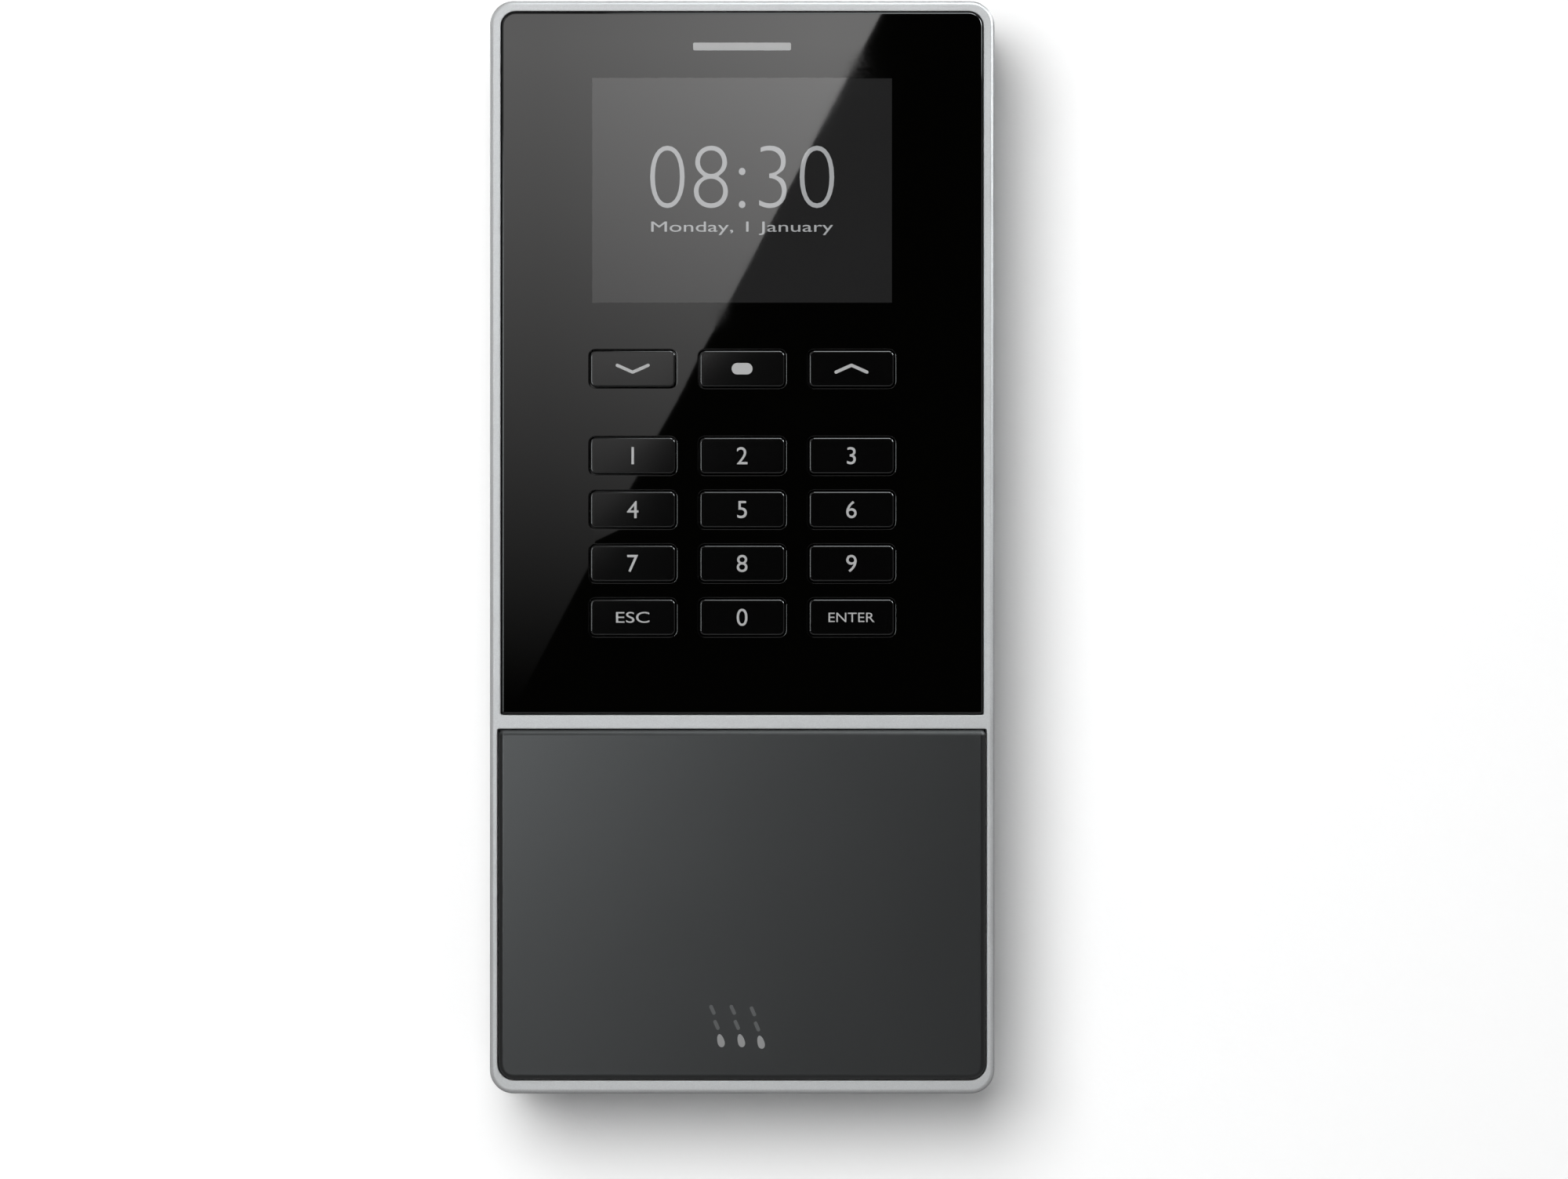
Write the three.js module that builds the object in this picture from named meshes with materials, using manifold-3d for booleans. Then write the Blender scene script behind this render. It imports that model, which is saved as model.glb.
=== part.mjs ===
// A wall-mounted punch time clock: a badge reader with a display and a keypad, hung on a steel wall plate.
// Millimetres. X runs to the user's right, Y runs into the wall and Z is up. The origin is on the wall,
// on the back face of the wall plate. Run it with the npm packages three and manifold-3d.
import * as THREE from "three";
import { mergeVertices } from "three/addons/utils/BufferGeometryUtils.js";
import Module from "manifold-3d";

const wasm = await Module();
wasm.setup();

// ---------------------------------------------------------------- driving dimensions
const GAP = 0.3; // clearance between neighbouring parts
const WIDTH = 97; // silver frame, the widest part
const HEIGHT = 210;
const CORNER = 6; // radius of the frame's corners in the front view

// Y coordinates of the layers, from the wall (0) to the user (negative).
const LAYER = {
  plateFront: -1.5, // steel wall plate
  shellRear: -0.6, // rim of the rear cover
  recessFloor: -2.2, // hollow in the rear cover that the wall plate lies in
  shellFloor: -4.6, // inner face of the rear cover's back wall
  bayFloor: -16.2, // pocket that the plugs reach into
  boardRear: -18.5,
  shellFront: -18.7,
  frameRear: -19,
  boardFront: -20.1,
  lipFront: -21.7, // lip of the rear cover, inside the frame
  chassisRear: -25.7,
  chassisFront: -27.7,
  glassRear: -28,
  frameFront: -29.8,
  glassFront: -30,
  keyFront: -30.3,
  coverFront: -30.6,
};

// The silver frame: its front lands, and the bar between the glass and the reader cover.
const FRAME = { side: 2.1, lowerSide: 1.5, openingTop: 103, openingBottom: -102.4, barTop: -32.2, barBottom: -34.9 };
const FRAME_SOCKET = { width: 93.8, height: 206.4, radius: 4.4 }; // behind the lands
const CHASSIS = { width: 93.2, height: 205.8, radius: 4.1, wall: 1.5 };
const GLASS_GAP = 0.2; // round the glass and the reader cover

// A 2.8 inch 4:3 display.
const DISPLAY = { z: 68.6, moduleWidth: 69.2, moduleHeight: 50.4, activeWidth: 57.6, activeHeight: 43.2 };

const KEY = { width: 16.3, height: 6.9, radius: 1, pitchX: 21, flange: 0.9, plunger: 1.6 };
const KEY_ROWS = [34.3, 17.6, 7.25, -3.1, -13.45]; // heights of the five rows
const KEY_NAMES = [
  ["down", "menu", "up"],
  ["1", "2", "3"],
  ["4", "5", "6"],
  ["7", "8", "9"],
  ["cancel", "0", "enter"],
];

const REAR = { width: 95.8, height: 208.8, radius: 5.4, wall: 2.6, roundIn: 3, roundBack: 5 };
const PLATE = { width: 72, top: 74, bottom: -90, radius: 3 };
const LIFT = 6; // how far the terminal rises to come off its hooks
const HOOK = { x: 22, z: 50.2, width: 10, thickness: 1.5, reach: 6.6, lip: 6.5 };
const TAB = { width: 16, depth: 11 };
const LOCK_Y = -7; // axis of the locking screw
const BAY = { width: 60, top: -4, bottom: -46, wall: 1.6 };
const CABLE_WINDOW = { width: 54, top: -8, bottom: -44, radius: 3 };
const SCREW_SPOTS = { case: [40, 96], boardX: 38, boardTop: 84, boardBottom: -20, reader: [34, -68] };
const BOARD = { width: 83, top: 88, bottom: -24 };
const READER = { width: 76, top: -42, bottom: -90, front: -25.4, rear: -24.2 };
const JACKS_FACE = -3.9; // the mouths of the sockets, in the bay's top wall

const ARC = { coarse: 1, fine: 2 }; // half the segments in a quarter of a rounded corner
const ROUND = 12; // sides of a small pin or hole

// ---------------------------------------------------------------- materials
function finish(color, roughness, metalness = 0) {
  return new THREE.MeshStandardMaterial({ color, roughness, metalness });
}

const silverPaint = finish(0xc9cbcc, 0.32, 0.6);
const glossBlack = finish(0x070708, 0.06);
const charcoal = finish(0x3b3d3f, 0.42);
const shellGrey = finish(0x2b2c2e, 0.6);
const chassisBlack = finish(0x151516, 0.7);
const keyBlack = finish(0x0b0b0c, 0.16);
const displayGlass = finish(0x1c1c1e, 0.1);
const circuitGreen = finish(0x1c5a3a, 0.5);
const siliconeGrey = finish(0x8c8f92, 0.8);
const zincSteel = finish(0xa9acae, 0.38, 1);
const nickelSteel = finish(0xb9b7b0, 0.25, 1);
const ribbonAmber = finish(0xb5762a, 0.45);
const leadBlack = finish(0x101011, 0.55);
const socketBlack = finish(0x0e0e0f, 0.5);
const tapeGrey = finish(0x3a3a3a, 0.9);
const plungerWhite = finish(0xd8d6cf, 0.5);

// ---------------------------------------------------------------- shapes and solids
/** A closed geometry as a manifold-3d solid, which can be joined and cut. */
function solid(geometry) {
  const bare = geometry.clone().deleteAttribute("normal").deleteAttribute("uv");
  const merged = mergeVertices(bare, 1e-4);
  return new wasm.Manifold(
    new wasm.Mesh({
      numProp: 3,
      vertProperties: merged.getAttribute("position").array,
      triVerts: Uint32Array.from(merged.index.array),
    }),
  );
}

/** A named mesh of a solid, with flat faces. */
function piece(name, made, material) {
  const { vertProperties, triVerts } = made.getMesh();
  const indexed = new THREE.BufferGeometry()
    .setAttribute("position", new THREE.BufferAttribute(vertProperties, 3))
    .setIndex(new THREE.BufferAttribute(triVerts, 1));
  const geometry = indexed.toNonIndexed();
  geometry.computeVertexNormals();
  const mesh = new THREE.Mesh(geometry, material);
  mesh.name = name;
  return mesh;
}

function joined(first, ...others) {
  return others.reduce((sum, next) => sum.add(next), first);
}

function cut(base, ...tools) {
  return tools.reduce((rest, tool) => rest.subtract(tool), base);
}

/** A rectangle in the X-Z plane with its own radius at the top and bottom corners. */
function roundedRect(width, height, radius, { x = 0, z = 0, bottomRadius = radius, Kind = THREE.Shape } = {}) {
  const [left, right, low, high] = [x - width / 2, x + width / 2, z - height / 2, z + height / 2];
  const shape = new Kind();
  shape.absarc(right - radius, high - radius, radius, 0, Math.PI / 2);
  shape.absarc(left + radius, high - radius, radius, Math.PI / 2, Math.PI);
  shape.absarc(left + bottomRadius, low + bottomRadius, bottomRadius, Math.PI, 1.5 * Math.PI);
  shape.absarc(right - bottomRadius, low + bottomRadius, bottomRadius, 1.5 * Math.PI, 2 * Math.PI);
  shape.closePath();
  return shape;
}

/** A shape in the X-Z plane, extruded from yRear towards the user, to yFront. */
function slab(shape, yRear, yFront, curveSegments = ARC.coarse) {
  const options = { depth: yRear - yFront, bevelEnabled: false, curveSegments };
  return solid(new THREE.ExtrudeGeometry(shape, options).rotateX(Math.PI / 2).translate(0, yRear, 0));
}

function block([x0, x1], [y0, y1], [z0, z1]) {
  const box = new THREE.BoxGeometry(x1 - x0, y1 - y0, z1 - z0);
  return solid(box.translate((x0 + x1) / 2, (y0 + y1) / 2, (z0 + z1) / 2));
}

/** A block that is centred on the X axis. */
function centredBlock(width, y, z) {
  return block([-width / 2, width / 2], y, z);
}

/** A round pin or hole along Y, between two Y coordinates. */
function pinAlongY(x, z, radius, [y0, y1], endRadius = radius) {
  const cylinder = new THREE.CylinderGeometry(endRadius, radius, y1 - y0, ROUND);
  return solid(cylinder.translate(x, (y0 + y1) / 2, z));
}

/** A round pin or hole along Z, between two Z coordinates. */
function pinAlongZ(x, y, radius, [z0, z1]) {
  const cylinder = new THREE.CylinderGeometry(radius, radius, z1 - z0, ROUND);
  return solid(cylinder.rotateX(Math.PI / 2).translate(x, y, (z0 + z1) / 2));
}

/** A section swept along a smooth curve through the points. */
function swept(section, points, steps) {
  const path = new THREE.CatmullRomCurve3(points.map((p) => new THREE.Vector3(...p)));
  return solid(new THREE.ExtrudeGeometry(section, { steps, extrudePath: path, bevelEnabled: false }));
}

function corners(x, z) {
  return [[-x, z], [x, z], [-x, -z], [x, -z]];
}

function group(...members) {
  return new THREE.Group().add(...members);
}

// ---------------------------------------------------------------- housing
/** The places of all the keys, with their names. */
function keyPlaces() {
  return KEY_NAMES.flatMap((names, row) =>
    names.map((name, column) => ({ name, x: (column - 1) * KEY.pitchX, z: KEY_ROWS[row] })),
  );
}

/** A block through each key's place, wider than the key by a margin all round. */
function keyBlocks(margin, y) {
  const [halfWidth, halfHeight] = [KEY.width / 2 + margin, KEY.height / 2 + margin];
  return keyPlaces().map(({ x, z }) => block([x - halfWidth, x + halfWidth], y, [z - halfHeight, z + halfHeight]));
}

/** A block through the display's place, wider than its module by a margin all round. */
function displayBlock(margin, y) {
  const half = DISPLAY.moduleHeight / 2 + margin;
  return centredBlock(DISPLAY.moduleWidth + 2 * margin, y, [DISPLAY.z - half, DISPLAY.z + half]);
}

/** The silver frame: a band round the terminal with a bar between its two front openings. */
function bezelFrame() {
  const { side, lowerSide, openingTop, openingBottom, barTop, barBottom } = FRAME;
  const [front, rear] = [LAYER.frameFront, LAYER.frameRear];
  const edge = 0.9;
  const outline = roundedRect(WIDTH - 2 * edge, HEIGHT - 2 * edge, CORNER - edge);
  const bevel = { bevelSize: edge, bevelThickness: edge, bevelSegments: 2 };
  const options = { depth: rear - front - 2 * edge, ...bevel, curveSegments: ARC.fine };
  const band = new THREE.ExtrudeGeometry(outline, options).rotateX(Math.PI / 2).translate(0, rear - edge, 0);
  const upperHeight = openingTop - barTop;
  const upper = roundedRect(WIDTH - 2 * side, upperHeight, 4, { z: barTop + upperHeight / 2, bottomRadius: 0.4 });
  const lowerHeight = barBottom - openingBottom;
  const lower = roundedRect(WIDTH - 2 * lowerSide, lowerHeight, 0.4, { z: barBottom - lowerHeight / 2, bottomRadius: 4.6 });
  const socket = roundedRect(FRAME_SOCKET.width, FRAME_SOCKET.height, FRAME_SOCKET.radius);
  const made = cut(
    solid(band),
    slab(upper, LAYER.glassRear + 1, front - 1, ARC.fine),
    slab(lower, LAYER.glassRear + 1, front - 1, ARC.fine),
    slab(socket, rear + 1, LAYER.glassRear, ARC.fine),
  );
  return piece("bezel_frame", made, silverPaint);
}

/** The black glass over the display and the keypad, with a hole for each key. */
function frontGlass() {
  const top = FRAME.openingTop - GLASS_GAP;
  const bottom = FRAME.barTop + GLASS_GAP;
  const width = WIDTH - 2 * (FRAME.side + GLASS_GAP);
  const outline = roundedRect(width, top - bottom, 3.8, { z: (top + bottom) / 2, bottomRadius: 0.5 });
  const [holeWidth, holeHeight] = [KEY.width + 2 * GAP, KEY.height + 2 * GAP];
  keyPlaces().forEach(({ x, z }) =>
    outline.holes.push(roundedRect(holeWidth, holeHeight, KEY.radius + GAP, { x, z, Kind: THREE.Path })),
  );
  const made = slab(outline, LAYER.glassRear, LAYER.glassFront);
  return piece("front_glass", made, glossBlack);
}

/** Die-cut tape that holds the glass on the chassis. */
function glassTape() {
  const [front, rear] = [LAYER.glassRear + 0.05, LAYER.chassisFront - 0.05];
  const [top, bottom] = [100, -30];
  const outline = roundedRect(88, top - bottom, 2, { z: (top + bottom) / 2 });
  const through = [front - 1, rear + 1];
  const made = cut(slab(outline, rear, front), displayBlock(1, through), ...keyBlocks(1.1, through));
  return piece("glass_tape", made, tapeGrey);
}

const CLIP = { x: 43.4, heights: [-50, -86], width: 8, thickness: 1.3, barb: 0.8 };

/** The grey cover in front of the badge reader, with four snap clips that reach through the chassis. */
function readerCover() {
  const top = FRAME.barBottom - GLASS_GAP;
  const bottom = FRAME.openingBottom + GLASS_GAP;
  const width = WIDTH - 2 * (FRAME.lowerSide + GLASS_GAP);
  const [front, rear, inside] = [LAYER.coverFront, LAYER.glassRear, LAYER.coverFront + 2];
  const z = (top + bottom) / 2;
  const outline = roundedRect(width, top - bottom, 0.6, { z, bottomRadius: 4.4 });
  const hollow = roundedRect(width - 4.4, top - bottom - 4, 0.6, { z, bottomRadius: 2.6 });
  const clips = CLIP.heights.flatMap((height) => [-1, 1].map((sign) => readerClip(sign, height, inside)));
  const made = joined(cut(slab(outline, rear, front), slab(hollow, rear + 1, inside)), ...clips);
  return piece("reader_cover", made, charcoal);
}

/** One snap clip of the reader cover: a leg through the chassis, with a barb behind it. */
function readerClip(sign, z, yRoot) {
  const inner = sign * (CLIP.x - CLIP.thickness);
  const outer = sign * CLIP.x;
  const barb = sign * (CLIP.x + CLIP.barb);
  const along = [z - CLIP.width / 2, z + CLIP.width / 2];
  const barbFront = LAYER.chassisRear + GAP;
  const span = (a, b) => [Math.min(a, b), Math.max(a, b)];
  const leg = block(span(inner, outer), [yRoot - 0.5, barbFront + 1.1], along);
  return joined(leg, block(span(inner, barb), [barbFront, barbFront + 1.1], along));
}

/** The black tray that carries the glass, display, keys and boards. */
function frontChassis() {
  const { width, height, radius, wall } = CHASSIS;
  const [front, rear] = [LAYER.chassisFront, LAYER.chassisRear];
  const wallEnd = LAYER.lipFront - GAP;
  const through = [front - 1, rear + 0.2];
  const rim = roundedRect(width, height, radius);
  rim.holes.push(roundedRect(width - 2 * wall, height - 2 * wall, radius - wall, { Kind: THREE.Path }));
  const caseBoss = (x, z) => pinAlongY(x, z, 4, [rear - 0.5, LAYER.shellFloor - 8.7]);
  const boardBoss = ([x, z]) => pinAlongY(x, z, 2.7, [rear - 0.5, LAYER.boardFront - GAP]);
  const clipSlots = CLIP.heights.flatMap((z) => [-1, 1].map((sign) => clipSlot(sign, z)));
  const caseSpots = corners(...SCREW_SPOTS.case);
  const [readerX, readerZ] = SCREW_SPOTS.reader;
  const made = cut(
    joined(
      slab(roundedRect(width, height, radius), rear, front),
      slab(rim, wallEnd, rear - 0.5),
      ...caseSpots.map(([x, z]) => caseBoss(x, z)),
      ...boardSpots().map(boardBoss),
    ),
    displayBlock(0.5, through),
    ...keyBlocks(GAP, through),
    ...clipSlots,
    ...caseSpots.map(([x, z]) => pinAlongY(x, z, 1.7, [-20, -12])),
    ...boardSpots().map(([x, z]) => pinAlongY(x, z, 1.3, [rear + 0.6, -19])),
    ...[-readerX, readerX].map((x) => pinAlongY(x, readerZ, 1.3, [front - 1, rear + 1])),
  );
  return piece("front_chassis", made, chassisBlack);
}

/** The slot in the chassis that a snap clip of the reader cover reaches through. */
function clipSlot(sign, z) {
  const edges = [sign * (CLIP.x - CLIP.thickness - GAP), sign * (CLIP.x + CLIP.barb + GAP)].sort((a, b) => a - b);
  const half = CLIP.width / 2 + GAP;
  return block(edges, [LAYER.chassisFront - 1, LAYER.chassisRear + 0.2], [z - half, z + half]);
}

function boardSpots() {
  const { boardX: x, boardTop, boardBottom } = SCREW_SPOTS;
  return [[-x, boardTop], [x, boardTop], [-x, boardBottom], [x, boardBottom]];
}

const POCKET = { width: 21, bottom: -98, top: -80, floor: -12.5, wall: 1.6 }; // for the wall plate's tab
const SPEAKER = { left: -35, right: -13, bottom: -101.2, top: -94, front: -18, rear: -6 };

/** The moulded rear cover, with the hollow for the wall plate, the bay for the plugs and the speaker's slots. */
function rearCover() {
  const { width, height, radius, wall, roundIn, roundBack } = REAR;
  const core = roundedRect(width - 2 * roundIn, height - 2 * roundIn, radius - roundIn);
  const straight = 20;
  const bevel = { bevelSize: roundIn, bevelThickness: roundBack, bevelSegments: 4 };
  const options = { depth: straight, ...bevel, curveSegments: ARC.fine };
  const pillow = new THREE.ExtrudeGeometry(core, options)
    .rotateX(Math.PI / 2)
    .translate(0, LAYER.shellRear - roundBack, 0);
  const beyond = centredBlock(2 * width, [-60, LAYER.shellFront], [-height, height]);
  const lip = roundedRect(CHASSIS.width, CHASSIS.height, CHASSIS.radius);
  const cavity = roundedRect(width - 2 * wall, height - 2 * wall, radius - wall);
  const outside = joined(
    cut(solid(pillow), beyond),
    slab(lip, LAYER.shellFront + 0.5, LAYER.lipFront),
  );
  const hollowShell = cut(outside, slab(cavity, LAYER.shellFloor, LAYER.lipFront - 1));
  const walls = [bayBox(BAY.wall), pocketBox(POCKET.wall)];
  const posts = corners(...SCREW_SPOTS.case).map(([x, z]) => pinAlongY(x, z, 4, [LAYER.shellFloor - 8.4, -4]));
  const made = cut(
    joined(hollowShell, ...walls, ...posts),
    plateRecess(),
    bayBox(0),
    pocketBox(0),
    ...socketHoles(),
    ...hookSlots(),
    ...speakerSlots(),
    ...corners(...SCREW_SPOTS.case).map(([x, z]) => pinAlongY(x, z, 1.7, [-20, 1])),
    ...corners(...SCREW_SPOTS.case).map(([x, z]) => pinAlongY(x, z, 3.2, [-3.4, 1])),
    pinAlongZ(0, LOCK_Y, 1.8, [-110, POCKET.bottom + 1]),
    pinAlongZ(0, LOCK_Y, 3.2, [-110, -101.2]),
    pinAlongY(TAMPER.x, TAMPER.z, 1.9, [LAYER.shellFloor - 1, 1]),
  );
  return piece("rear_cover", made, shellGrey);
}

/** The hollow that the wall plate lies in, long enough for the terminal to rise off its hooks. */
function plateRecess() {
  const [top, bottom] = [PLATE.top + 0.6, PLATE.bottom - LIFT - 1.6];
  const outline = roundedRect(PLATE.width + 1.2, top - bottom, PLATE.radius, { z: (top + bottom) / 2 });
  return slab(outline, 1, LAYER.recessFloor);
}

/** The plug bay, or its walls when grown by a thickness. */
function bayBox(thickness) {
  const rear = thickness ? LAYER.shellFloor + 0.5 : 1;
  const z = [BAY.bottom - thickness, BAY.top + thickness];
  return centredBlock(BAY.width + 2 * thickness, [LAYER.bayFloor - thickness, rear], z);
}

/** The pocket that the wall plate's tab stands in, or its walls when grown by a thickness. */
function pocketBox(thickness) {
  const rear = thickness ? LAYER.shellFloor + 0.5 : 1;
  const bottom = thickness ? -103 : POCKET.bottom;
  return centredBlock(POCKET.width + 2 * thickness, [POCKET.floor - thickness, rear], [bottom, POCKET.top + thickness]);
}

/** The slots in the back wall for the wall plate's hooks. The terminal's weight rests on their top edges. */
function hookSlots() {
  const top = HOOK.z + HOOK.thickness + GAP;
  const height = HOOK.lip + HOOK.thickness + 0.4;
  const half = HOOK.width / 2 + 0.6;
  return [-HOOK.x, HOOK.x].map((x) => block([x - half, x + half], [LAYER.shellFloor - 1, 0], [top - height, top]));
}

function speakerSlots() {
  const [first, pitch, count, width] = [-31, 4, 5, 1.6];
  return Array.from({ length: count }, (_, i) => first + i * pitch).map((x) =>
    block([x - width / 2, x + width / 2], [SPEAKER.front + 2, SPEAKER.rear - 2], [-110, SPEAKER.bottom - GAP]),
  );
}

/** The holes in the bay's top wall that the sockets show through. */
function socketHoles() {
  return SOCKETS.map(({ x, width, height }) => {
    const half = width / 2 + GAP;
    return block([x - half, x + half], [LAYER.boardRear - 1, LAYER.boardRear + GAP + height + GAP], [-5.4, -1.4]);
  });
}

// ---------------------------------------------------------------- wall plate
/** The steel plate that is screwed to the wall. Its two hooks carry the terminal, and its tab takes the locking screw. */
function wallPlate() {
  const { width, top, bottom, radius } = PLATE;
  const outline = roundedRect(width, top - bottom, radius, { z: (top + bottom) / 2 });
  const { width: openWidth, top: openTop, bottom: openBottom } = CABLE_WINDOW;
  const window = { z: (openTop + openBottom) / 2, Kind: THREE.Path };
  outline.holes.push(roundedRect(openWidth, openTop - openBottom, CABLE_WINDOW.radius, window));
  wallSlots().forEach(({ x, z, width: across, height }) =>
    outline.holes.push(roundedRect(across, height, Math.min(across, height) / 2 - 0.01, { x, z, Kind: THREE.Path })),
  );
  [-HOOK.x, HOOK.x].forEach((x) =>
    outline.holes.push(roundedRect(HOOK.width + 1.2, 8.4, 0.8, { x, z: HOOK.z + 6.2, Kind: THREE.Path })),
  );
  const tabTop = bottom + LAYER.plateFront * -1;
  const tab = cut(
    centredBlock(TAB.width, [-TAB.depth, -0.5], [bottom, tabTop]),
    pinAlongZ(0, LOCK_Y, 1.8, [bottom - 1, tabTop + 1]),
  );
  const hooks = [-HOOK.x, HOOK.x].map((x) => plateHook(x));
  return piece("wall_plate", joined(slab(outline, 0, LAYER.plateFront), tab, ...hooks), zincSteel);
}

/** One hook: a neck that leaves the plate and a lip that turns up behind the rear cover's wall. */
function plateHook(x) {
  const across = [x - HOOK.width / 2, x + HOOK.width / 2];
  const neck = block(across, [-HOOK.reach, -0.5], [HOOK.z, HOOK.z + HOOK.thickness]);
  return joined(neck, block(across, [-HOOK.reach, -HOOK.reach + HOOK.thickness], [HOOK.z, HOOK.z + HOOK.lip]));
}

/** The four slots for wall screws: the upper pair lets the plate be levelled, the lower pair sets its height. */
function wallSlots() {
  const [wide, long] = [4.5, 9];
  return [-28, 28].flatMap((x) => [
    { x, z: 66, width: long, height: wide },
    { x, z: -72, width: wide, height: long },
  ]);
}

// ---------------------------------------------------------------- display
function displayGroup() {
  const { moduleWidth, moduleHeight, activeWidth, activeHeight } = DISPLAY;
  const [front, rear, lip] = [LAYER.chassisFront + 0.1, LAYER.chassisFront + 3.1, 0.5];
  const outline = roundedRect(moduleWidth, moduleHeight, 0.4);
  outline.holes.push(roundedRect(activeWidth + 2, activeHeight + 2, 0.3, { Kind: THREE.Path }));
  const pocket = roundedRect(moduleWidth - 2.6, moduleHeight - 2.4, 0.3);
  const frame = cut(slab(outline, rear, front), slab(pocket, rear + 1, front + lip));
  const panel = roundedRect(moduleWidth - 3.2, moduleHeight - 3, 0.2);
  const members = group(
    piece("lcd_frame", frame, nickelSteel),
    piece("lcd_panel", slab(panel, rear - GAP, front + lip + GAP), displayGlass),
  );
  members.position.z = DISPLAY.z;
  return members;
}

/** A flat flexible cable of a width, through points in the Y-Z plane. */
function ribbon(name, width, x, points) {
  const [u, v] = [width / 2, 0.12];
  const corner = [[-u, -v], [u, -v], [u, v], [-u, v]];
  const section = new THREE.Shape(corner.map((point) => new THREE.Vector2(...point)));
  const path = points.map(([y, z]) => [0, y, z]);
  const mesh = piece(name, swept(section, path, 14), ribbonAmber);
  mesh.position.x = x;
  return mesh;
}

// ---------------------------------------------------------------- keypad
/** One key cap: it shows through the glass, its flange keeps it in, and its plunger rests on a dome of the mat. */
function keySolid() {
  const { width, height, radius, flange, plunger } = KEY;
  const flangeFront = LAYER.chassisRear + 0.4;
  const flangeRear = flangeFront + flange;
  const cap = slab(roundedRect(width, height, radius), flangeFront + 0.2, LAYER.keyFront);
  const [across, up] = [width / 2 + 0.9, height / 2 + 0.9];
  const skirt = block([-across, across], [flangeFront, flangeRear], [-up, up]);
  return joined(cap, skirt, pinAlongY(0, 0, plunger, [flangeRear - 0.2, flangeRear + 1]));
}

/** The silicone mat: a dome under each key, on a sheet that lies on the main board. */
function keypadMat() {
  const [front, rear] = [LAYER.boardFront - 1.1, LAYER.boardFront - GAP];
  const [high, low] = [KEY_ROWS[0] + 5.2, KEY_ROWS[4] - 5];
  const sheet = slab(roundedRect(64, high - low, 2, { z: (high + low) / 2 }), rear, front);
  const cone = new THREE.CylinderGeometry(3, 1.8, 2, 8);
  const dome = ({ x, z }) => solid(cone.clone().translate(x, front - 0.9, z));
  return piece("keypad_mat", joined(sheet, ...keyPlaces().map(dome)), siliconeGrey);
}

function keypadGroup() {
  const shared = keySolid();
  const keys = keyPlaces().map(({ name, x, z }) => {
    const key = piece(`key_${name}`, shared, keyBlack);
    key.position.set(x, 0, z);
    return key;
  });
  return group(keypadMat(), ...keys);
}

// ---------------------------------------------------------------- electronics
// Sockets on the main board, with their mouths down in the bay: centre, width in X, height in Y and length in Z.
const SOCKETS = [
  { name: "network_socket", x: -17, width: 16, height: 11.5, length: 20 },
  { name: "usb_socket", x: 3, width: 13.2, height: 5.8, length: 14 },
  { name: "power_socket", x: 20, width: 9, height: 11, length: 14 },
];
const TAMPER = { x: -30, z: 24, travel: 1 };
const CELL = { x: 21, z: 62, radius: 10, thickness: 3.2 };

/** The main circuit board with its soldered parts. */
function mainBoard() {
  const { width, top, bottom } = BOARD;
  const [front, rear] = [LAYER.boardFront, LAYER.boardRear];
  const sheet = slab(roundedRect(width, top - bottom, 1.5, { z: (top + bottom) / 2 }), rear, front);
  const onRear = (x, z, across, high, tall) =>
    block([x - across / 2, x + across / 2], [rear - 0.2, rear + tall], [z - high / 2, z + high / 2]);
  const onFront = (x, z, across, high, tall) =>
    block([x - across / 2, x + across / 2], [front - tall, front + 0.2], [z - high / 2, z + high / 2]);
  const parts = [
    onRear(-14, 52, 28, 28, 3), // processor under its shield
    onRear(-24, 76, 18, 12, 2.6), // radio module
    onRear(6, 28, 10, 14, 1.6), // memory
    onRear(20, 28, 8, 8, 4), // inductor
    onRear(-36.5, 10.7, 5, 4.6, 4.5), // speaker connector
    pinAlongY(32, 22, 3.2, [rear - 0.2, rear + 7.7]), // capacitors
    pinAlongY(32, 32, 3.2, [rear - 0.2, rear + 7.7]),
    onFront(0, 43.2, 24, 4.4, 2), // display connector
    onFront(12, -22.1, 16, 3, 1.8), // reader connector
  ];
  const holes = boardSpots().map(([x, z]) => pinAlongY(x, z, 1.3, [front - 1, rear + 1]));
  return piece("main_board", cut(joined(sheet, ...parts), ...holes), circuitGreen);
}

/** The badge reader's board, which carries the antenna coil behind the grey cover. */
function readerBoard() {
  const { width, top, bottom, front, rear } = READER;
  const [screwX, screwZ] = SCREW_SPOTS.reader;
  const sheet = slab(roundedRect(width, top - bottom, 1.5, { z: (top + bottom) / 2 }), rear, front);
  const parts = [
    block([-6, 6], [rear - 0.2, rear + 1.4], [-74, -62]), // reader chip
    block([4, 20], [rear - 0.2, rear + 1.8], [-47, -44]), // ribbon connector
  ];
  const holes = [-screwX, screwX].map((x) => pinAlongY(x, screwZ, 1.3, [front - 1, rear + 1]));
  return piece("reader_board", cut(joined(sheet, ...parts), ...holes), circuitGreen);
}

/** The outer body of a socket, standing on the main board with its mouth at the bottom. */
function socketBody({ width, height, length }) {
  const seat = LAYER.boardRear + GAP;
  return centredBlock(width, [seat, seat + height], [JACKS_FACE, JACKS_FACE + length]);
}

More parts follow.
